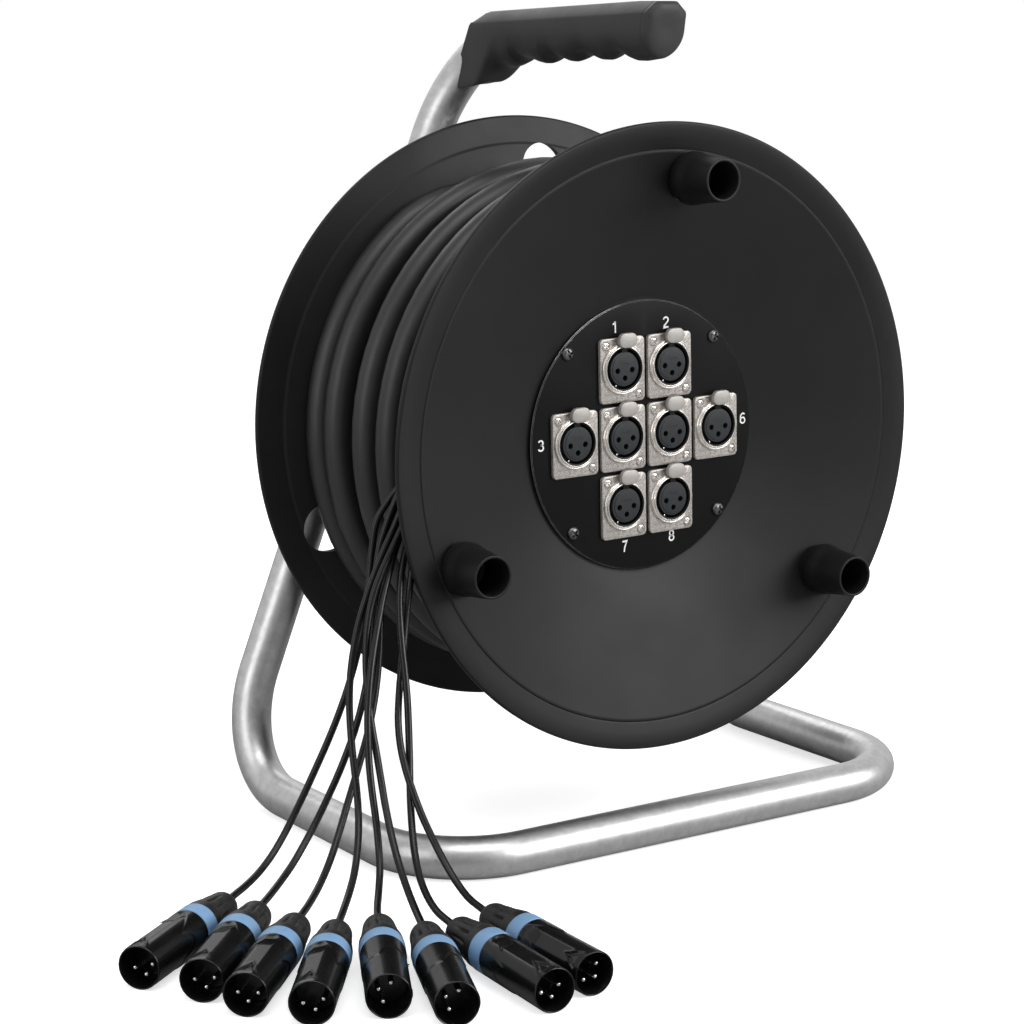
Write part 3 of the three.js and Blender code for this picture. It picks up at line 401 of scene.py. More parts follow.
def loft(rings, closed_ends=True):
    """Rings of equal count joined one to the next."""
    count = len(rings[0])
    verts = [tuple(p) for ring in rings for p in ring]
    faces = []
    for i in range(len(rings) - 1):
        for k in range(count):
            j = (k + 1) % count
            faces.append((i * count + k, i * count + j, (i + 1) * count + j, (i + 1) * count + k))
    if closed_ends:
        faces.append(tuple(range(count - 1, -1, -1)))
        faces.append(tuple(range((len(rings) - 1) * count, len(rings) * count)))
    return verts, faces


def tube(points, radius, sides, cap=0.25):
    """A round tube along points, its two ends rounded over by a share of its radius."""
    path = [Vector(p) for p in points]
    along = [(path[min(i + 1, len(path) - 1)] - path[max(i - 1, 0)]).normalized()
             for i in range(len(path))]
    side = along[0].orthogonal().normalized()
    rings = []

    def ring(centre, direction, size):
        across = direction.cross(side)
        return [centre + (side * math.cos(2 * math.pi * k / sides)
                          + across * math.sin(2 * math.pi * k / sides)) * size for k in range(sides)]

    edge = radius * cap
    for i, (centre, direction) in enumerate(zip(path, along)):
        side = (side - direction * side.dot(direction)).normalized()
        steps = [(0, 0)]
        if i == 0:
            steps = [(0, edge), (edge * 0.3, edge * 0.3), (edge, 0)]
        elif i == len(path) - 1:
            steps = [(-edge, 0), (-edge * 0.3, edge * 0.3), (0, edge)]
        for ahead, less in steps:
            rings.append(ring(centre + direction * ahead, direction, radius - less))
    return loft(rings)


def joined(*parts):
    """Several parts' corners and faces as one part."""
    verts, faces = [], []
    for part_verts, part_faces in parts:
        start = len(verts)
        verts += part_verts
        faces += [tuple(start + k for k in face) for face in part_faces]
    return verts, faces


def make_mesh(name, part, sharp=38.0):
    """A mesh in metres from a part's corners and faces, smooth up to an angle in degrees."""
    verts, faces = part
    mesh = bpy.data.meshes.new(name)
    mesh.from_pydata([(x * MM, y * MM, z * MM) for x, y, z in verts], [], faces)
    shape = bmesh.new()
    shape.from_mesh(mesh)
    bmesh.ops.remove_doubles(shape, verts=shape.verts, dist=1e-7)
    bmesh.ops.recalc_face_normals(shape, faces=shape.faces)
    shape.to_mesh(mesh)
    shape.free()
    smooth(mesh, sharp)
    return mesh


def smooth(mesh, sharp):
    mesh.shade_smooth()
    mesh.set_sharp_from_angle(angle=math.radians(sharp))


def dress(obj, body, slot, *nodes):
    """The piece rides on its body and stands for CAD nodes, which it hides; the slot is not used."""
    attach(obj, body)
    if nodes:
        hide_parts(*nodes)
    return obj


def piece(name, mesh, material, body, slot, *nodes, matrix=None):
    """A dressed object made of a mesh, at the frame's origin or where a matrix puts it."""
    obj = bpy.data.objects.new(name, mesh)
    if not mesh.materials:
        mesh.materials.append(material)
    scene.collection.objects.link(obj)
    if matrix is not None:
        obj.matrix_world = matrix
    return dress(obj, body, slot, *nodes)


def cut(mesh, cutters, sharp=38.0):
    """The mesh with the cutters' solids taken out of it."""
    target = bpy.data.objects.new("cut_target", mesh)
    tool = bpy.data.objects.new("cut_tool", make_mesh("cut_tool", joined(*cutters)))
    for obj in (target, tool):
        scene.collection.objects.link(obj)
    modifier = target.modifiers.new("cut", "BOOLEAN")
    modifier.operation, modifier.solver, modifier.object = "DIFFERENCE", "EXACT", tool
    modifier.use_self = True
    graph = bpy.context.evaluated_depsgraph_get()
    result = bpy.data.meshes.new_from_object(target.evaluated_get(graph))
    for obj in (target, tool):
        bpy.data.objects.remove(obj)
    smooth(result, sharp)
    return result


def rod(x, z, radius, front, back, sides=48):
    """A plain cylinder along Y."""
    return lathe([(0, front), (radius, front), (radius, back), (0, back)], sides, x, z)


def box(x0, x1, y0, y1, z0, z1):
    verts = [(x, y, z) for x in (x0, x1) for y in (y0, y1) for z in (z0, z1)]
    return verts, [(0, 1, 3, 2), (4, 6, 7, 5), (0, 4, 5, 1), (2, 3, 7, 6), (0, 2, 6, 4), (1, 5, 7, 3)]


def rounded_plate(width, height, corner, steps=6):
    """Points of a rectangle with round corners."""
    outline = []
    for sx, sz, start in ((1, 1, 0), (-1, 1, 90), (-1, -1, 180), (1, -1, 270)):
        for k in range(steps + 1):
            angle = math.radians(start + 90 * k / steps)
            outline.append((sx * (width / 2 - corner) + corner * math.cos(angle),
                            sz * (height / 2 - corner) + corner * math.sin(angle)))
    return outline


def slab(outline, front, back, edge):
    """An outline in X and Z with thickness along Y and a rounded front edge."""
    half_x = max(x for x, _ in outline)
    half_z = max(z for _, z in outline)
    rings = []
    for y, inset in ((back, 0.0), (front + edge, 0.0), (front + edge * 0.3, edge * 0.3), (front, edge)):
        rings.append([(x * (1 - inset / half_x), y, z * (1 - inset / half_z)) for x, z in outline])
    return loft(rings)


def smooth_path(points, per_span):
    """A smooth run through the points, with extra points between them."""
    pts = [Vector(p) for p in points]
    pts = [pts[0] * 2 - pts[1]] + pts + [pts[-1] * 2 - pts[-2]]
    out = []
    for i in range(1, len(pts) - 2):
        p0, p1, p2, p3 = pts[i - 1:i + 3]
        for k in range(per_span):
            t = k / per_span
            out.append(0.5 * ((2 * p1) + (p2 - p0) * t + (2 * p0 - 5 * p1 + 4 * p2 - p3) * t ** 2
                              + (3 * p1 - p0 - 3 * p2 + p3) * t ** 3))
    out.append(pts[-2])
    return out


def bend(before, corner, after, radius, steps):
    """Points of the arc that rounds a corner off."""
    before, corner, after = Vector(before), Vector(corner), Vector(after)
    arriving, leaving = (corner - before).normalized(), (after - corner).normalized()
    turn = arriving.angle(leaving)
    start = corner - arriving * (radius * math.tan(turn / 2))
    inward = (leaving - arriving * leaving.dot(arriving)).normalized()
    centre = start + inward * radius
    return [centre - inward * (radius * math.cos(turn * k / steps))
            + arriving * (radius * math.sin(turn * k / steps)) for k in range(steps + 1)]


# Cords: the eight tails, each with its plug
def plug_matrix(x, y, direction, roll):
    tilt = math.asin(PLUG_TIP_RISE / PLUG_LENGTH)
    return (Matrix.Translation((x * MM, y * MM, PLUG_Z * MM))
            @ Matrix.Rotation(math.radians(direction - 90), 4, "Z")
            @ Matrix.Rotation(tilt, 4, "X") @ Matrix.Rotation(-math.radians(roll), 4, "Y"))


def shell_radius(angle, t):
    """The plug shell's outer radius: a round rear collar that ends in an arch on the window's side,
    a slimmer front with a flat on top, and a raised three-sided frame round the latch window."""
    off = (angle - 90 + 180) % 360 - 180
    side = min(abs(off - 90), abs(off + 90))
    arch = SHELL_ARCH
    if abs(off) < 64:
        arch += 19.5 * (1 - (off / 64) ** 2)
    if side < 36:
        arch = max(arch, SHELL_ARCH + 9.0 * (1 - (side / 36) ** 2))
    slim = SHELL_SLIM
    if abs(off) < 60:
        slim = min(slim, SHELL_FLAT / math.cos(math.radians(off)))
    radius = slim + (SHELL_COLLAR - slim) * ease(t - arch + 0.5)
    across = math.radians(off) * 9.2
    if abs(off) < 60 and 1.0 < t < 14.5:
        reach = 5.6 * (1 - (t - 1.6) / 12.0)
        edge = min(reach - abs(across), t - 1.6)
        if edge > 0.75:
            radius -= 0.45
            if (across ** 2 + (t - 8.8) ** 2) < 1.0:
                radius += 0.35
            if 1.9 < edge < 2.5:
                radius += 0.25
        elif edge > -0.25:
            radius += 0.18
    return radius


def plug_shell_mesh():
    """A hollow shell with a cup for the pins, and nine slanted ribs on its flat."""
    angles = [2.5 * k for k in range(144)]

    def ring(t, size):
        return [spun(size, a, t) for a in angles]

    rings = [ring(CUP_DEPTH, 0.4), ring(CUP_DEPTH, CUP_R - 0.4), ring(CUP_DEPTH - 0.4, CUP_R),
             ring(0.7, CUP_R), ring(0.2, 8.75), ring(0.0, 9.0), ring(0.12, 9.22)]
    stations = [0.45 + 0.45 * k for k in range(33)] + [15.5 + 0.7 * k for k in range(40)]
    for t in stations + [43.2, 43.6]:
        rings.append([spun(shell_radius(a, t), a, t) for a in angles])
    rings += [ring(43.9, 9.4), ring(SHELL_END, 9.1), ring(SHELL_END, 0.4)]
    ribs = []
    for k in range(9):
        middle = -3.4 + 0.85 * k
        ends = []
        for t in (-3.4, 3.4):
            off = max(-4.2, min(4.2, middle + t * 0.5)) / 9.2
            height = SHELL_FLAT / math.cos(off) + 0.02
            ends.append((height * math.sin(off), 35.5 + t, height * math.cos(off)))
        ribs.append(tube([Vector(ends[0]).lerp(Vector(ends[1]), s / 6) for s in range(7)], 0.2, 6))
    return make_mesh("plug_shell", joined(loft(rings), *ribs), 32)


def plug_ring_mesh():
    start = SHELL_END + RING_GAP
    end = start + RING_WIDTH
    outline = [(0, start), (RING_R, start), (RING_R, end), (0, end)]
    return make_mesh("plug_ring", turned(outline, [0, 0.7, 0.7, 0], 96))


def plug_boot_mesh():
    """A tapering boot with flutes between its collar and its tail."""
    start, overlap = SHELL_END + RING_GAP + RING_WIDTH, 0.4
    sides, flutes = 144, 12
    outline = [(0.0, 8.8), (0.0, 9.4), (0.8, 9.5), (4.4, 9.45), (5.0, 9.3), (8.0, 8.9), (12.0, 8.2),
               (16.0, 7.8), (19.0, 7.4), (21.5, 7.2), (23.5, 7.0), (25.5, 6.3), (27.0, 5.2), (27.8, 4.0),
               (28.05, 2.6)]
    start -= overlap
    stretch = (PLUG_LENGTH - start) / outline[-1][0]
    rings = []
    for t, r, _ in smooth_path([(t, r, 0) for t, r in outline], 5):
        share = clamp((t - 5.0) / 2.5) * clamp((20.0 - t) / 8.0)
        ring = []
        for k in range(sides):
            angle = 360 * k / sides
            groove = max(0.0, math.cos(math.radians(flutes * angle))) ** 2
            ring.append(spun(r - 0.95 * share * groove, angle, start + t * stretch))
        rings.append(ring)
    return make_mesh("plug_boot", loft(rings), 40)


def pin_spot(angle):
    """Where a contact stands, as x and z from the middle of its plug or socket."""
    x, _, z = spun(PIN_RING, angle)
    return x, z


def plug_pins_mesh():
    outline = [(0, 3.5), (0.5, 3.6), (0.85, 3.9), (1.1, 4.4), (1.2, 5.0), (1.2, 15.6), (0, 15.6)]
    return make_mesh("plug_pins", joined(*[lathe(outline, 24, *pin_spot(a)) for a in PIN_ANGLES]))


def bezier_curve(name, points, radius, material):
    """A round cord as a curve through the points."""
    data = bpy.data.curves.new(name, "CURVE")
    data.dimensions = "3D"
    data.resolution_u = 8
    data.bevel_depth = radius * MM
    data.bevel_resolution = 6
    data.use_fill_caps = True
    data.materials.append(material)
    spline = data.splines.new("BEZIER")
    spline.bezier_points.add(len(points) - 1)
    pts = [Vector(p) * MM for p in points]
    for i, point in enumerate(spline.bezier_points):
        before, after = pts[max(i - 1, 0)], pts[min(i + 1, len(pts) - 1)]
        direction = (after - before).normalized()
        point.handle_left_type = point.handle_right_type = "FREE"
        point.co = pts[i]
        point.handle_left = pts[i] - direction * ((pts[i] - before).length / 3)
        point.handle_right = pts[i] + direction * ((after - pts[i]).length / 3)
    obj = bpy.data.objects.new(name, data)
    scene.collection.objects.link(obj)
    return obj


def lead_points():
    """The multicore's free end: round the drum in its own lane, then down into the sleeve."""
    points = []
    for k in range(15):
        angle = LEAD_START + (LEAD_END - LEAD_START) * k / 14
        share = max(angle - LEAD_LIFT, 0) / (LEAD_END - LEAD_LIFT)
        points.append(spun(WIND_R + LEAD_OUT * share * share, angle, LEAD_Y, AXLE_Z))
    points.append((points[-1][0], LEAD_Y, SLEEVE_TOP + 0.3))
    return points


def fan_out_sleeve():
    x = lead_points()[-1][0]
    outline = [(0, SLEEVE_FOOT), (8.2, SLEEVE_FOOT), (7.9, 188.0), (7.1, 196.0), (7.05, SLEEVE_TOP),
               (0, SLEEVE_TOP)]
    verts, faces = turned(outline, [0, 1.2, 2.0, 2.0, 0.8, 0], 64)
    upright = [(x + vx, LEAD_Y - vz, vy) for vx, vy, vz in verts]
    mesh = make_mesh("fan_out_sleeve_moulded", (upright, faces))
    return piece("fan_out_sleeve_moulded", mesh, SLEEVE, "frame", "sleeve_rubber", "fan_out_sleeve")


def cords():
    lead = bezier_curve("multicore_lead", lead_points(), CABLE / 2, JACKET)
    dress(lead, "frame", "cable_jacket", "multicore_end")
    sleeve = fan_out_sleeve()
    meshes = plug_shell_mesh(), plug_ring_mesh(), plug_boot_mesh(), plug_pins_mesh()
    for i, (points, spot) in enumerate(zip(TAILS, PLUGS), 1):
        matrix = plug_matrix(*spot)
        shell, ring, boot, pins = [
            piece(f"plug_{i}_{kind}", mesh, material, "frame", slot, *nodes, matrix=matrix)
            for mesh, (kind, material, slot, *nodes) in zip(meshes, [
                ("shell", SHELL, "plug_shell", f"plug_shell_{i}"),
                ("ring", BLUE, "plug_boot", f"plug_boot_{i}"),
                ("boot", BOOT, "tail_jacket"), ("pins", PIN, "steel")])]
        inside = [tuple(matrix @ Vector((0, t * MM, 0)) / MM) for t in IN_BOOT]
        points = [(*points[0][:2], TAIL_TOP), *points, *inside]
        tail = bezier_curve(f"tail_{i}", points, TAIL_R, TAIL)
        dress(tail, "frame", "tail_jacket", f"tail_cable_{i}")


cords()


# Stand tube
def foot_bend(sign):
    """The tube's run from a side rail up into its leg, as one easy curve."""
    lean = Vector((-sign, 0, 1 / LEG_SLOPE)).normalized()
    foot = Vector((sign * FOOT_X, LEG_Y, TUBE_R + FOOT_RISE))
    start = Vector((sign * RAIL_X, LEG_Y - FOOT_RUN, TUBE_R))
    a, b = start + Vector((0, FOOT_PULL, 0)), foot - lean * FOOT_PULL
    return [start * (1 - t) ** 3 + a * 3 * t * (1 - t) ** 2 + b * 3 * t * t * (1 - t) + foot * t ** 3
            for t in (k / 24 for k in range(25))]


def front_corner(sign):
    corner = Vector((sign * RAIL_X, FRONT_Y, TUBE_R))
    return bend(corner + Vector((0, 1, 0)), corner, corner - Vector((sign, 0, 0)), CORNER_BEND, 20)


def leg_x(height):
    """How far a leg's middle line is from the stand's middle at a height."""
    return FOOT_X - (height - TUBE_R - FOOT_RISE) * LEG_SLOPE


def grip_end():
    """The left leg's top bend, as far as it runs inside the grip."""
    foot = Vector((-FOOT_X, LEG_Y, TUBE_R + FOOT_RISE))
    corner = Vector((GRIP_X, LEG_Y, GRIP_Z))
    tilt = math.radians(GRIP_TILT)
    forward = Vector((0, -math.cos(tilt), math.sin(tilt)))
    return bend(foot, corner, corner + forward, TOP_BEND, 28)[:25]


def evenly(points, step=6.0):
    """Extra points along the straight stretches, so that rings follow each other closely."""
    out = []
    for a, b in zip(points, points[1:]):
        count = max(1, round((b - a).length / step))
        out += [a.lerp(b, k / count) for k in range(count)]
    return out + [points[-1]]


def stand():
    corner = Vector((leg_x(AXLE_Z), LEG_Y, AXLE_Z))
    foot = Vector((FOOT_X, LEG_Y, TUBE_R + FOOT_RISE))
    route = [*reversed(grip_end()), *reversed(foot_bend(-1)), *front_corner(-1),
             *reversed(front_corner(1)), *foot_bend(1),
             *bend(foot, corner, corner - Vector((1, 0, 0)), CROSS_BEND, 20),
             Vector((-leg_x(AXLE_Z) + CROSS_OVERLAP, LEG_Y, AXLE_Z))]
    mesh = make_mesh("stand_tube", tube(evenly(route), TUBE_R, 40))
    piece("stand_tube", mesh, ZINC, "frame", "zinc_tube", "frame_tube")
    bead = []
    for k in range(49):
        angle = 2 * math.pi * k / 48
        y, z = WELD_R * math.cos(angle), WELD_R * math.sin(angle)
        x = WELD_X - abs(math.cos(angle)) * WELD_LEAN - z * LEG_SLOPE - leg_x(AXLE_Z)
        bead.append(Vector((x, LEG_Y + y, AXLE_Z + z)))
    mesh = make_mesh("leg_weld", tube(bead, WELD_BEAD, 10))
    piece("leg_weld", mesh, STEEL, "frame", "zinc_tube")


stand()


# Grip
def at_y(points, y):
    """Height of a line, listed from high y to low y, at y."""
    for (ay, az), (by, bz) in zip(points, points[1:]):
        if ay >= y >= by:
            return az + (bz - az) * (ay - y) / max(ay - by, 1e-6)
    return points[0][1] if y > points[0][0] else points[-1][1]


def grip_section(foot_y, top_y, crease):
    """One slanted ring: an oval belly that is boxed in at the rear, upright sides, a bevelled crown."""
    foot_z, top_z = at_y(GRIP_FOOT, foot_y), at_y(GRIP_TOP, top_y)
    (ry, rz), (fy, fz) = CROWN_REAR, CROWN_FRONT
    crown = rz + (fz - rz) * (ry - top_y) / (ry - fy)
    taper = clamp((45.0 - top_y) / 125.0)
    half = GRIP_REAR_HALF + (GRIP_FRONT_HALF - GRIP_REAR_HALF) * taper - crease
    boxed = ease((foot_y - 42.0) / 16.0)
    belly = []
    for k in range(37):
        turn = math.radians(-90 + 5 * k)
        power = 1.14 * (1 - boxed) + 0.16 * boxed if turn < 0 else 1.14
        drop = math.cos(turn) ** (1 - 0.86 * boxed if turn < 0 else 1)
        sag = GRIP_SAG * boxed * max(-math.sin(turn), 0.0)
        u = math.copysign(abs(math.sin(turn)) ** power, turn)
        belly.append((half * u, GRIP_WAIST - (GRIP_WAIST - foot_z + sag) * drop))
    sides = [(half, GRIP_WAIST + 1.5), (half, crown - BEVEL_DROP - 0.7),
             (half - 0.35, crown - BEVEL_DROP + 0.4), (half - BEVEL_WIDE + 0.8, crown - 0.75),
             (half - BEVEL_WIDE - 0.6, crown), (2.0, crown)]
    outline = belly + sides + [(-x, z) for x, z in reversed(sides)]
    ring = []
    for x, z in outline:
        z = min(z, top_z - crease)
        share = (z - foot_z) / (top_z - foot_z)
        ring.append(Vector((GRIP_X + x, foot_y + (top_y - foot_y) * share, z)))
    return ring


def grip():
    rings = []
    for k in range(181):
        foot_y, top_y = (a + (b - a) * k / 180 for a, b in (FOOT_ENDS, TOP_ENDS))
        crease = CREASE_DEPTH * math.exp(-((top_y - CREASE_Y) / 0.5) ** 2)
        rings.append(grip_section(foot_y, top_y, crease))
    last = rings[-1]
    heart = Vector((GRIP_X, CAP_Y, CAP_Z))
    for k in range(1, 13):
        turn = math.pi / 2 * k / 12
        small, ahead = max(math.cos(turn) ** 0.7, 0.03), math.sin(turn) ** 0.8
        centre = heart - Vector((0, CAP_DEPTH * ahead, 0))
        rings.append([centre + (point - heart) * small for point in last])
    mesh = make_mesh("grip_moulding", loft(rings), 35)
    bore = [Vector((-FOOT_X, LEG_Y, TUBE_R + FOOT_RISE)), *grip_end()]
    mesh = cut(mesh, [tube(evenly(bore), TUBE_R + 0.25, 40, 0.02)], 35)
    piece("grip_moulding", mesh, GRIP, "frame", "grip_plastic", "handle_grip")


grip()


# Flanges and pegs
def peg_spot(angle):
    x, _, z = spun(PEG_RING, angle, 0, AXLE_Z)
    return x, z


def flange(name, opening, hole, sign, node):
    """A dished moulding with a beaded rim, a hub opening and three peg holes."""
    hub, inner = HUB_HALF, HUB_HALF - WALL
    outline = soften([
        (opening, hub), (66.0, hub), (67.2, hub + 0.25), (DISH_R, DISH_HALF), (136.5, 65.55),
        (136.9, 65.15), (137.5, 65.4), (143.0, 66.8), (146.5, 67.35), (149.3, RIM_HALF),
        (RIM_R, 66.9), (RIM_R, 65.2), (149.4, 64.5), (136.9, 62.3), (135.6, 61.5), (70.0, inner),
        (opening, inner),
    ], [0.5, 0.6, 0.6, 0.4, 0.2, 0.2, 0.3, 2, 2, 0.4, 0.5, 0.5, 0.5, 0.4, 0.3, 4, 0.5])
    part = lathe([(r, DRUM_Y + sign * y) for r, y in outline], 240, 0, AXLE_Z)
    holes = [rod(*peg_spot(a), hole, -90, 90, 64) for a in PEG_ANGLES]
    piece(name, cut(make_mesh(name, part), holes, 30), DRUM, "drum", "drum_plastic", node)


def pegs():
    outline = [
        (0, -62.0), (10.7, -62.0), (10.7, -66.0), (12.5, -68.4), (12.7, -70.4), (12.5, -73.0),
        (11.9, -75.4), (11.4, -78.0), (10.0, -93.3), (8.7, -93.3), (9.1, -72.0), (0, -71.0),
    ]
    radii = [0, 0.3, 0.2, 0.3, 0.8, 1.2, 1.2, 2.0, 0.45, 0.45, 1.0, 0]
    for i, angle in enumerate(PEG_ANGLES, 1):
        mesh = make_mesh(f"peg_{i}", turned(outline, radii, 72, *peg_spot(angle)))
        piece(f"peg_{i}", mesh, DRUM, "drum", "drum_plastic", f"cable_peg_{i}")


flange("flange_front", FRONT_OPENING, FRONT_PEG_HOLE, -1, "front_flange")
flange("flange_rear", REAR_OPENING, REAR_PEG_HOLE, 1, "rear_flange")
pegs()


# Winding
def lower_layers():
    """The cable's lower turns, as one grooved body whose turns climb from lane to lane."""
    around, across = 200, 150
    rings = []
    for k in range(across + 1):
        climb = (LOWER_REAR - LOWER_FRONT) * k / across
        ring = []
        for j in range(around):
            phase = ((climb - LOWER_PITCH * j / around) / LOWER_PITCH) % 1.0 - 0.5
            bulge = math.sqrt(max(0.0, 1 - (2 * phase * 0.985) ** 2))
            ring.append(spun(LOWER_R + LOWER_BULGE * bulge, 360 * j / around, LOWER_FRONT + climb, AXLE_Z))
        rings.append(ring)
    start, end = ([spun(CORE_R, 360 * j / around, y, AXLE_Z) for j in range(around)]
                  for y in (CORE_FRONT, CORE_REAR))
    mesh = make_mesh("lower_layers", loft([start, *rings, end, start], closed_ends=False), 60)
    piece("lower_layers", mesh, JACKET, "drum", "cable_jacket", "cable_core")


def lane_at(angle):
    """The Y of the outer layer at an angle: each turn crosses over to its lane, then keeps it."""
    lane = min(max(int((angle - CROSS_START) // 360), 0), len(LANES) - 1)
    before = LANES[max(lane - 1, 0)]
    return before + (LANES[lane] - before) * ease((angle - CROSS_START - 360 * lane) / CROSS_SWEEP)


def outer_turns():
    points = []
    for k in range(int((WIND_END - FEED_START) / WIND_STEP) + 1):
        angle = FEED_START + WIND_STEP * k
        radius = WIND_R - FEED_DEPTH * (1 - ease((angle - FEED_START) / FEED_SWEEP))
        y = lane_at(angle) if angle > WIND_START else LANES[0]
        points.append(Vector(spun(radius, angle, y, AXLE_Z)))
    heading = (points[-1] - points[-2]).normalized()
    points += [points[-1] + heading * CABLE * s for s in (0.5, 1.0)]
    mesh = make_mesh("outer_turns", tube(points, CABLE / 2, 28), 50)
    piece("outer_turns", mesh, JACKET, "drum", "cable_jacket", "cable_winding")


def nested_turns():
    """Turns of the layer below that fill the valleys between the outer turns near the front."""
    for i, y in enumerate(NEST_LANES, 1):
        points = []
        for k in range(int((NEST_END - NEST_START) / WIND_STEP) + 1):
            angle = NEST_START + WIND_STEP * k
            sink = (clamp(1 - (angle - NEST_START) / NEST_SWEEP)
                    + clamp(1 - (NEST_END - angle) / NEST_SWEEP))
            points.append(spun(NEST_R - NEST_SINK * sink, angle, y, AXLE_Z))
        mesh = make_mesh(f"nested_turn_{i}", tube(points, CABLE / 2, 24), 50)
        piece(f"nested_turn_{i}", mesh, JACKET, "drum", "cable_jacket")


lower_layers()
outer_turns()
nested_turns()


# Panel with its sockets, tabs, screws and numbers
def panel_matrix(x=0.0, z=0.0, y=0.0):
    """A place on the panel, which sits in the drum with a slight turn."""
    turn = Matrix.Rotation(-PANEL_TURN, 4, "Y")
    return Matrix.Translation((0, 0, AXLE_Z * MM)) @ turn @ Matrix.Translation((x * MM, y * MM, z * MM))


def socket_spots():
    return [(column * PITCH_X + SOCKET_SHIFT_X, row * PITCH_Z + SOCKET_SHIFT_Z) for column, row in SLOTS]


def panel():
    outline = [(0, PANEL_FRONT), (PANEL_R, PANEL_FRONT), (PANEL_R, PANEL_BACK), (0, PANEL_BACK)]
    holes = [rod(x, z + BORE_RISE, 12.6, CLEAR, -40, 64) for x, z in socket_spots()]
    mesh = cut(make_mesh("panel_disc", turned(outline, [0, 0.5, 0.3, 0], 200)), holes, 30)
    piece("panel_disc", mesh, PANEL, "drum", "panel_plate", "connector_panel", matrix=panel_matrix())
    inner, outer = PANEL_R - 0.45, PANEL_R + 0.05
    rim = lathe([(inner, -51.63), (outer, -51.2), (outer, -50.9), (inner, -50.9)], 200)
    mesh = make_mesh("panel_cut_edge", rim)
    piece("panel_cut_edge", mesh, EDGE, "drum", "steel", matrix=panel_matrix())


def cross_screw(name, radius, height, recess):
    """A domed screw head with a cross of two slots in it."""
    head = lathe([(0, 0.6), (radius, 0.6), (radius, 0), (radius * 0.97, -height * 0.35),
                  (radius * 0.82, -height * 0.72), (radius * 0.55, -height * 0.94), (0, -height)], 40)
    arm, wide = radius * 0.62, radius * 0.17
    mesh = make_mesh(name, head)
    for half_x, half_z in ((arm, wide), (wide, arm)):
        mesh = cut(mesh, [box(-half_x, half_x, -height - 1, recess - height, -half_z, half_z)])
    return mesh


def panel_screws():
    mesh = cross_screw("panel_screw", 3.3, 2.0, 1.4)
    for i, (x, z) in enumerate([(42.6, 44.5), (-43.9, 43.5), (-42.3, -42.6), (44.6, -41.6)]):
        matrix = panel_matrix(x, z, PANEL_FRONT) @ Matrix.Rotation(0.3 + i, 4, "Y")
        piece(f"panel_screw_{i + 1}", mesh, SCREW, "drum", "steel", matrix=matrix)


def socket_plate_mesh():
    """The socket's flange, with a bore, two screw seats and a slot beside the tab."""
    base = make_mesh("socket_plate", slab(rounded_plate(26.0, 31.0, 2.2), PLATE_FRONT, PLATE_BACK, 0.4))
    base = cut(base, [rod(0, BORE_RISE, 12.15, CLEAR, -40, 96)])
    seats = [rod(-side * PLATE_SCREW_X, side * PLATE_SCREW_Z, 2.35, CLEAR, -52.7, 32) for side in (1, -1)]
    return cut(base, [*seats, box(-7.0, -1.0, CLEAR, -53.1, 11.6, 15.0)])


def tab_shape(margin, front, back, edge):
    """The release tab's outline as a solid, or the room that it needs when it is pressed."""
    outline = rounded_plate(TAB_WIDE + 2 * margin, TAB_HIGH + 2 * margin, TAB_CORNER + margin, 8)
    verts, faces = slab(outline, front, back, edge)
    return [(x + TAB_SHIFT, y, z + TAB_RISE) for x, y, z in verts], faces


def socket_ring_mesh():
    """The stepped ring round the socket's bore, with a notch for the tab's travel."""
    ring = turned([
        (12.1, PLATE_BACK), (12.5, PLATE_BACK), (12.5, -54.0), (12.0, -54.9), (11.6, -54.5), (11.2, -54.6),
        (10.9, -55.45), (10.4, -55.45), (10.2, -52.0), (10.2, -38.0), (12.0, -38.0),
    ], [0.1, 0.2, 0.5, 0.35, 0.2, 0.2, 0.25, 0.25, 0.1, 0.1, 0.1], 96, 0, BORE_RISE)
    return cut(make_mesh("socket_ring", ring, 32), [tab_shape(0.2, CLEAR, PLATE_FRONT, 0.1)], 32)


def socket_insert_mesh():
    """The contact block in the bore, with three contact holes and a thin groove above them."""
    outline = [(0, -55.5), (7.2, -55.5), (7.2, -55.2), (8.3, -55.2), (8.3, -31.0), (0, -31.0)]
    block = turned(outline, [0, 0.15, 0.1, 0.5, 0.2, 0], 80, 0, BORE_RISE)
    spots = [pin_spot(angle) for angle in PIN_ANGLES]
    cutters = [rod(x, BORE_RISE + z, 1.4, CLEAR, -45, 28) for x, z in spots]
    cutters.append(box(-2.6, 2.6, CLEAR, -55.3, BORE_RISE + 2.4, BORE_RISE + 2.75))
    return cut(make_mesh("socket_insert", block), cutters, 30)


def socket_bore_mesh():
    """The dark lining between the shell's ring and the insert, with its key, and the rear barrel."""
    lining = turned([(9.6, -54.9), (10.3, -55.2), (10.3, -37.0), (9.6, -37.0)], 0.1, 80, 0, BORE_RISE)
    floor = lathe([(8.1, -47.0), (9.8, -47.0), (9.8, -46.0), (8.1, -46.0)], 64, 0, BORE_RISE)
    key = box(-1.7, 1.7, -55.3, -41.0, BORE_RISE + 8.0, BORE_RISE + 9.9)
    barrel = lathe([(9.6, -50.0), (11.9, -50.0), (11.9, -27.0), (0, -27.0), (0, -30.0), (9.6, -30.0)], 64,
                   0, BORE_RISE)
    return make_mesh("socket_bore", joined(lining, floor, key, barrel))


def spring_mesh():
    """The thin ground contact between the ring and the insert."""
    points = [(-5.3, -55.2, -7.1), (-5.2, -53.0, -7.0), (-5.1, -48.0, -6.9)]
    return make_mesh("ground_spring", tube(points, 0.45, 12))


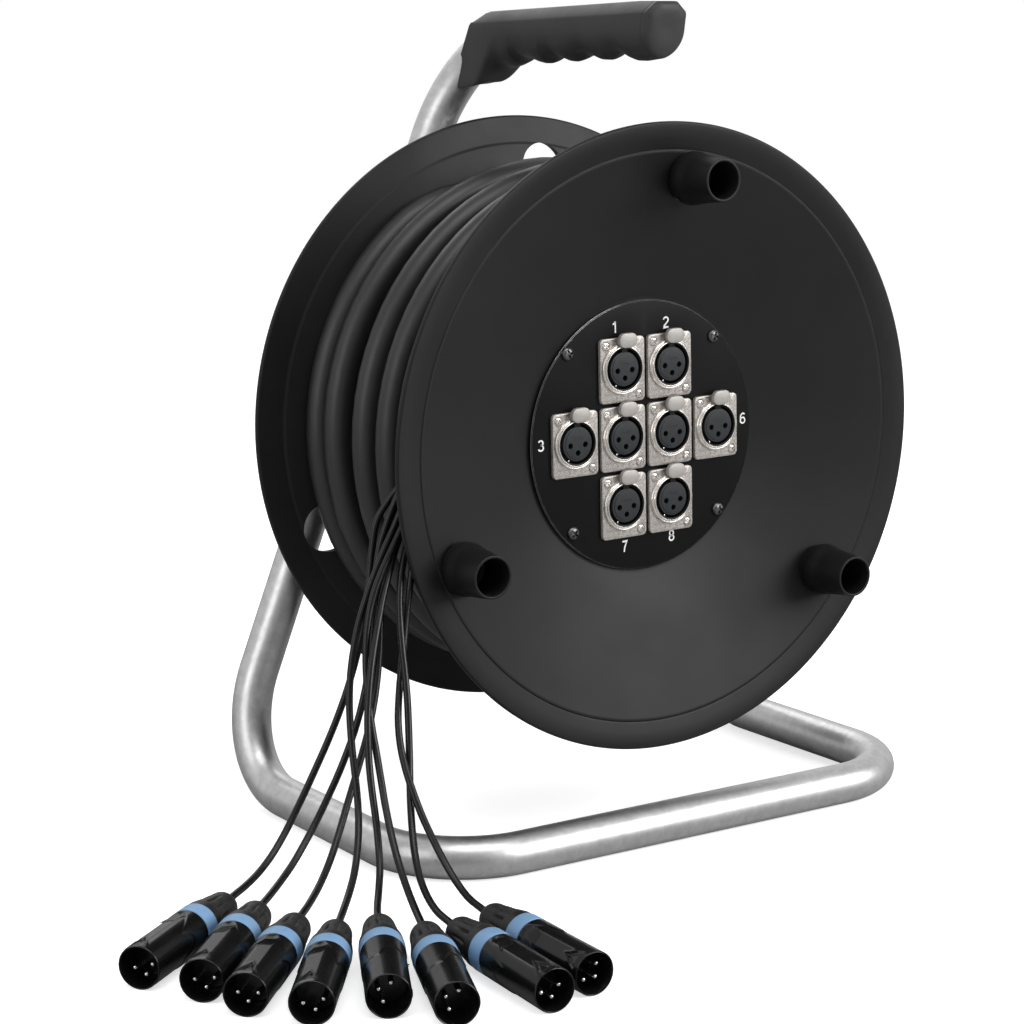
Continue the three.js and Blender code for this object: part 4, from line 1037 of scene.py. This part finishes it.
def sockets():
    fixed = [("plate", socket_plate_mesh(), NICKEL, "connector_shell"),
             ("ring", socket_ring_mesh(), NICKEL_RING, "connector_shell"),
             ("bore", socket_bore_mesh(), BORE, "drum_plastic"),
             ("insert", socket_insert_mesh(), INSERT, "drum_plastic"),
             ("spring", spring_mesh(), PIN, "connector_shell")]
    tab = make_mesh("latch_tab", tab_shape(0.0, TAB_FRONT, TAB_BACK, 0.5))
    screw = cross_screw("socket_screw", 2.15, 1.0, 0.8)
    for i, (x, z) in enumerate(socket_spots(), 1):
        matrix = panel_matrix(x, z)
        for kind, mesh, material, slot in fixed:
            nodes = [f"connector_{i}"] if kind == "plate" else []
            piece(f"socket_{i}_{kind}", mesh, material, "drum", slot, *nodes, matrix=matrix)
        piece(f"socket_{i}_tab", tab, TAB, f"latch_{i}", "latch_metal", f"latch_{i}", matrix=matrix)
        for tag, side, turn in (("upper", 1, 0.5), ("lower", -1, 1.1)):
            spot = panel_matrix(x - side * PLATE_SCREW_X, z + side * PLATE_SCREW_Z, PLATE_FRONT + 0.3)
            piece(f"socket_{i}_screw_{tag}", screw, NICKEL_RING, "drum", "connector_shell",
                  matrix=spot @ Matrix.Rotation(turn + i, 4, "Y"))


def arc(x, z, wide, high, start, end, steps=16):
    """Points of a digit's bow: a piece of an ellipse."""
    angles = [math.radians(start + (end - start) * k / steps) for k in range(steps + 1)]
    return [(x + wide * math.cos(a), z + high * math.sin(a)) for a in angles]


DIGITS = {
    "1": [[(-1.45, 1.75), (-0.75, 1.9), (-0.2, 2.3), (0.1, 2.9), (0.2, 3.3)], [(0.35, 3.3), (0.35, -3.3)]],
    "2": [arc(0, 1.3, 1.65, 1.6, 172, -28) + [(-0.2, -1.1), (-1.3, -2.1), (-1.75, -2.9), (1.9, -2.9)]],
    "3": [arc(0, 1.45, 1.5, 1.45, 158, -90), arc(0, -1.35, 1.7, 1.55, 90, -160)],
    "6": [arc(0, -1.2, 1.65, 1.7, 0, 360, 30), arc(0.25, 0.0, 1.9, 2.9, 185, 50)],
    "7": [[(-1.8, 2.9), (1.75, 2.9), (0.7, 1.3), (-0.1, -0.7), (-0.5, -3.3)]],
    "8": [arc(0, 1.5, 1.4, 1.4, 0, 360, 26), arc(0, -1.45, 1.65, 1.5, 0, 360, 30)],
}


def ribbon(points):
    """A flat printed stroke of even width along points in X and Z."""
    pts = [Vector((x, 0, z)) for x, z in points]
    rings = []
    for i, point in enumerate(pts):
        along = (pts[min(i + 1, len(pts) - 1)] - pts[max(i - 1, 0)]).normalized()
        before = point - pts[i - 1] if i else along
        after = pts[i + 1] - point if i + 1 < len(pts) else along
        spread = DIGIT_STROKE / max(math.cos(before.angle(after) / 2), 0.5)
        side = Vector((-along.z, 0, along.x)) * spread
        lift = Vector((0, PRINT_DEPTH, 0))
        rings.append([tuple((point + side * a - lift * b) * DIGIT_SIZE)
                      for a, b in ((1, 0), (1, 1), (-1, 1), (-1, 0))])
    return loft(rings)


def numbers():
    for text, x, z in (("1", -16.2, 53.7), ("2", 14.0, 53.6), ("3", -59.8, 1.5), ("6", 60.7, 2.0),
                       ("7", -12.0, -52.9), ("8", 16.2, -51.2)):
        mesh = make_mesh("number_" + text, joined(*[ribbon(stroke) for stroke in DIGITS[text]]), 20)
        matrix = panel_matrix(x, z, PANEL_FRONT - 0.02)
        piece("panel_number_" + text, mesh, WHITE, "drum", "panel_plate", matrix=matrix)


panel()
panel_screws()
sockets()
numbers()


# Hub at the rear
def hub():
    def ring(name, outline, radii, material, body, slot, *nodes):
        mesh = make_mesh(name, turned(outline, radii, 96, 0, AXLE_Z))
        piece(name, mesh, material, body, slot, *nodes)

    ring("axle_rod", [(0, -2), (8, -2), (8, 98.4), (0, 98.4)], [0, 1, 1, 0], STEEL, "frame", "steel",
         "axle_pin")
    ring("bush_moulding", [(HUB_BORE, 11.3), (19.7, 11.3), (19.7, 42.1), (30, 42.1), (30, 46.1),
                           (HUB_BORE, 46.1)],
         [0.4, 0.8, 0.4, 0.4, 1.0, 0.4], DRUM, "drum", "drum_plastic", "hub_bush")
    ring("nylon_washer", [(HUB_BORE, 46.4), (16, 46.4), (16, 48.4), (HUB_BORE, 48.4)], 0.3, NYLON,
         "frame", "nylon", "thrust_washer")
    outline = [(HUB_BORE, 48.7), (19, 48.7), (19, 85), (HUB_BORE, 85)]
    bracket = make_mesh("bracket_tube", turned(outline, [0.3, 0.8, 0.8, 0.3], 96, 0, AXLE_Z))
    saddle = tube([(x, LEG_Y, AXLE_Z) for x in (-60, -20, 20, 60)], TUBE_R + 0.25, 48)
    piece("bracket_tube", cut(bracket, [saddle]), ZINC, "frame", "zinc_tube", "hub_bracket")


def dress_nodes():
    """CAD nodes that keep their own mesh get a finished material."""
    for node, material in (("axle_nut", STEEL), ("drum_barrel", DRUM)):
        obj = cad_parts[node]
        obj.data.materials.clear()
        obj.data.materials.append(material)


hub()
dress_nodes()


# Floor, room and lamps
def floor():
    """A floor that is lifted to white for the camera and darker in mirror-like surfaces."""
    mesh = bpy.data.meshes.new("floor")
    ring = [spun(FLOOR_R, 3.75 * k) for k in range(96)]
    mesh.from_pydata([(x, y, 0) for x, _, y in ring], [], [tuple(range(96))])
    finish = Finish("floor")
    rays = finish.node("ShaderNodeLightPath")
    tone = finish.tree.nodes.new("ShaderNodeMix")
    tone.data_type = "RGBA"
    finish.fill(tone.inputs, {"Factor": rays["Is Glossy Ray"], 6: (*grey(FLOOR_TONE), 1),
                              7: (*grey(FLOOR_MIRRORED), 1)})
    mesh.materials.append(finish.done({
        "Base Color": tone.outputs[2], "Roughness": 0.9, "Specular IOR Level": 0.1,
        "Emission Color": (1, 1, 1, 1),
        "Emission Strength": finish.calculate("MULTIPLY", rays["Is Camera Ray"], FLOOR_LIFT)}))
    obj = bpy.data.objects.new("floor", mesh)
    scene.collection.objects.link(obj)


def room():
    """White to the camera, an even fill on what the object scatters, and for its reflections dim
    in front of it and brighter behind it."""
    data = bpy.data.worlds.new("studio")
    scene.world = data
    data.use_nodes = True
    data.node_tree.nodes.clear()
    nodes = Nodes(data.node_tree)

    def backdrop(strength):
        return nodes.node("ShaderNodeBackground", {"Color": (1, 1, 1, 1), "Strength": strength})[0]

    def choice(factor, usual, other):
        return nodes.node("ShaderNodeMixShader", {0: factor, 1: usual, 2: other})[0]

    rays = nodes.node("ShaderNodeLightPath")
    coords = nodes.node("ShaderNodeTexCoord")["Generated"]
    depth = nodes.node("ShaderNodeSeparateXYZ", {0: coords})["Y"]
    reflected = nodes.spread(depth, ROOM_FRONT, ROOM_BEHIND, -ROOM_TURN, ROOM_TURN)
    mirrored = nodes.calculate("MAXIMUM", rays["Is Glossy Ray"], rays["Is Transmission Ray"])
    unseen = choice(mirrored, backdrop(ROOM_FILL), backdrop(reflected))
    nodes.node("ShaderNodeOutputWorld", {
        "Surface": choice(rays["Is Camera Ray"], unseen, backdrop(1.0))})


def lamp(name, spot, size, power):
    data = bpy.data.lights.new(name, "AREA")
    data.shape, data.size, data.size_y, data.energy = "RECTANGLE", *size, power
    obj = bpy.data.objects.new(name, data)
    scene.collection.objects.link(obj)
    obj.location = spot
    obj.rotation_euler = (LAMP_TARGET - Vector(spot)).to_track_quat("-Z", "Y").to_euler()


floor()
room()
lamp("key", (-0.25, -0.75, 1.75), (1.5, 0.9), 14)
lamp("left", (-1.7, -0.35, 0.75), (0.9, 1.3), 7)
lamp("front_right", (1.22, -1.68, 0.98), (1.5, 1.2), 40)
lamp("back", (0.3, 1.5, 1.4), (1.4, 0.8), 6)
scene.view_settings.view_transform = "Standard"
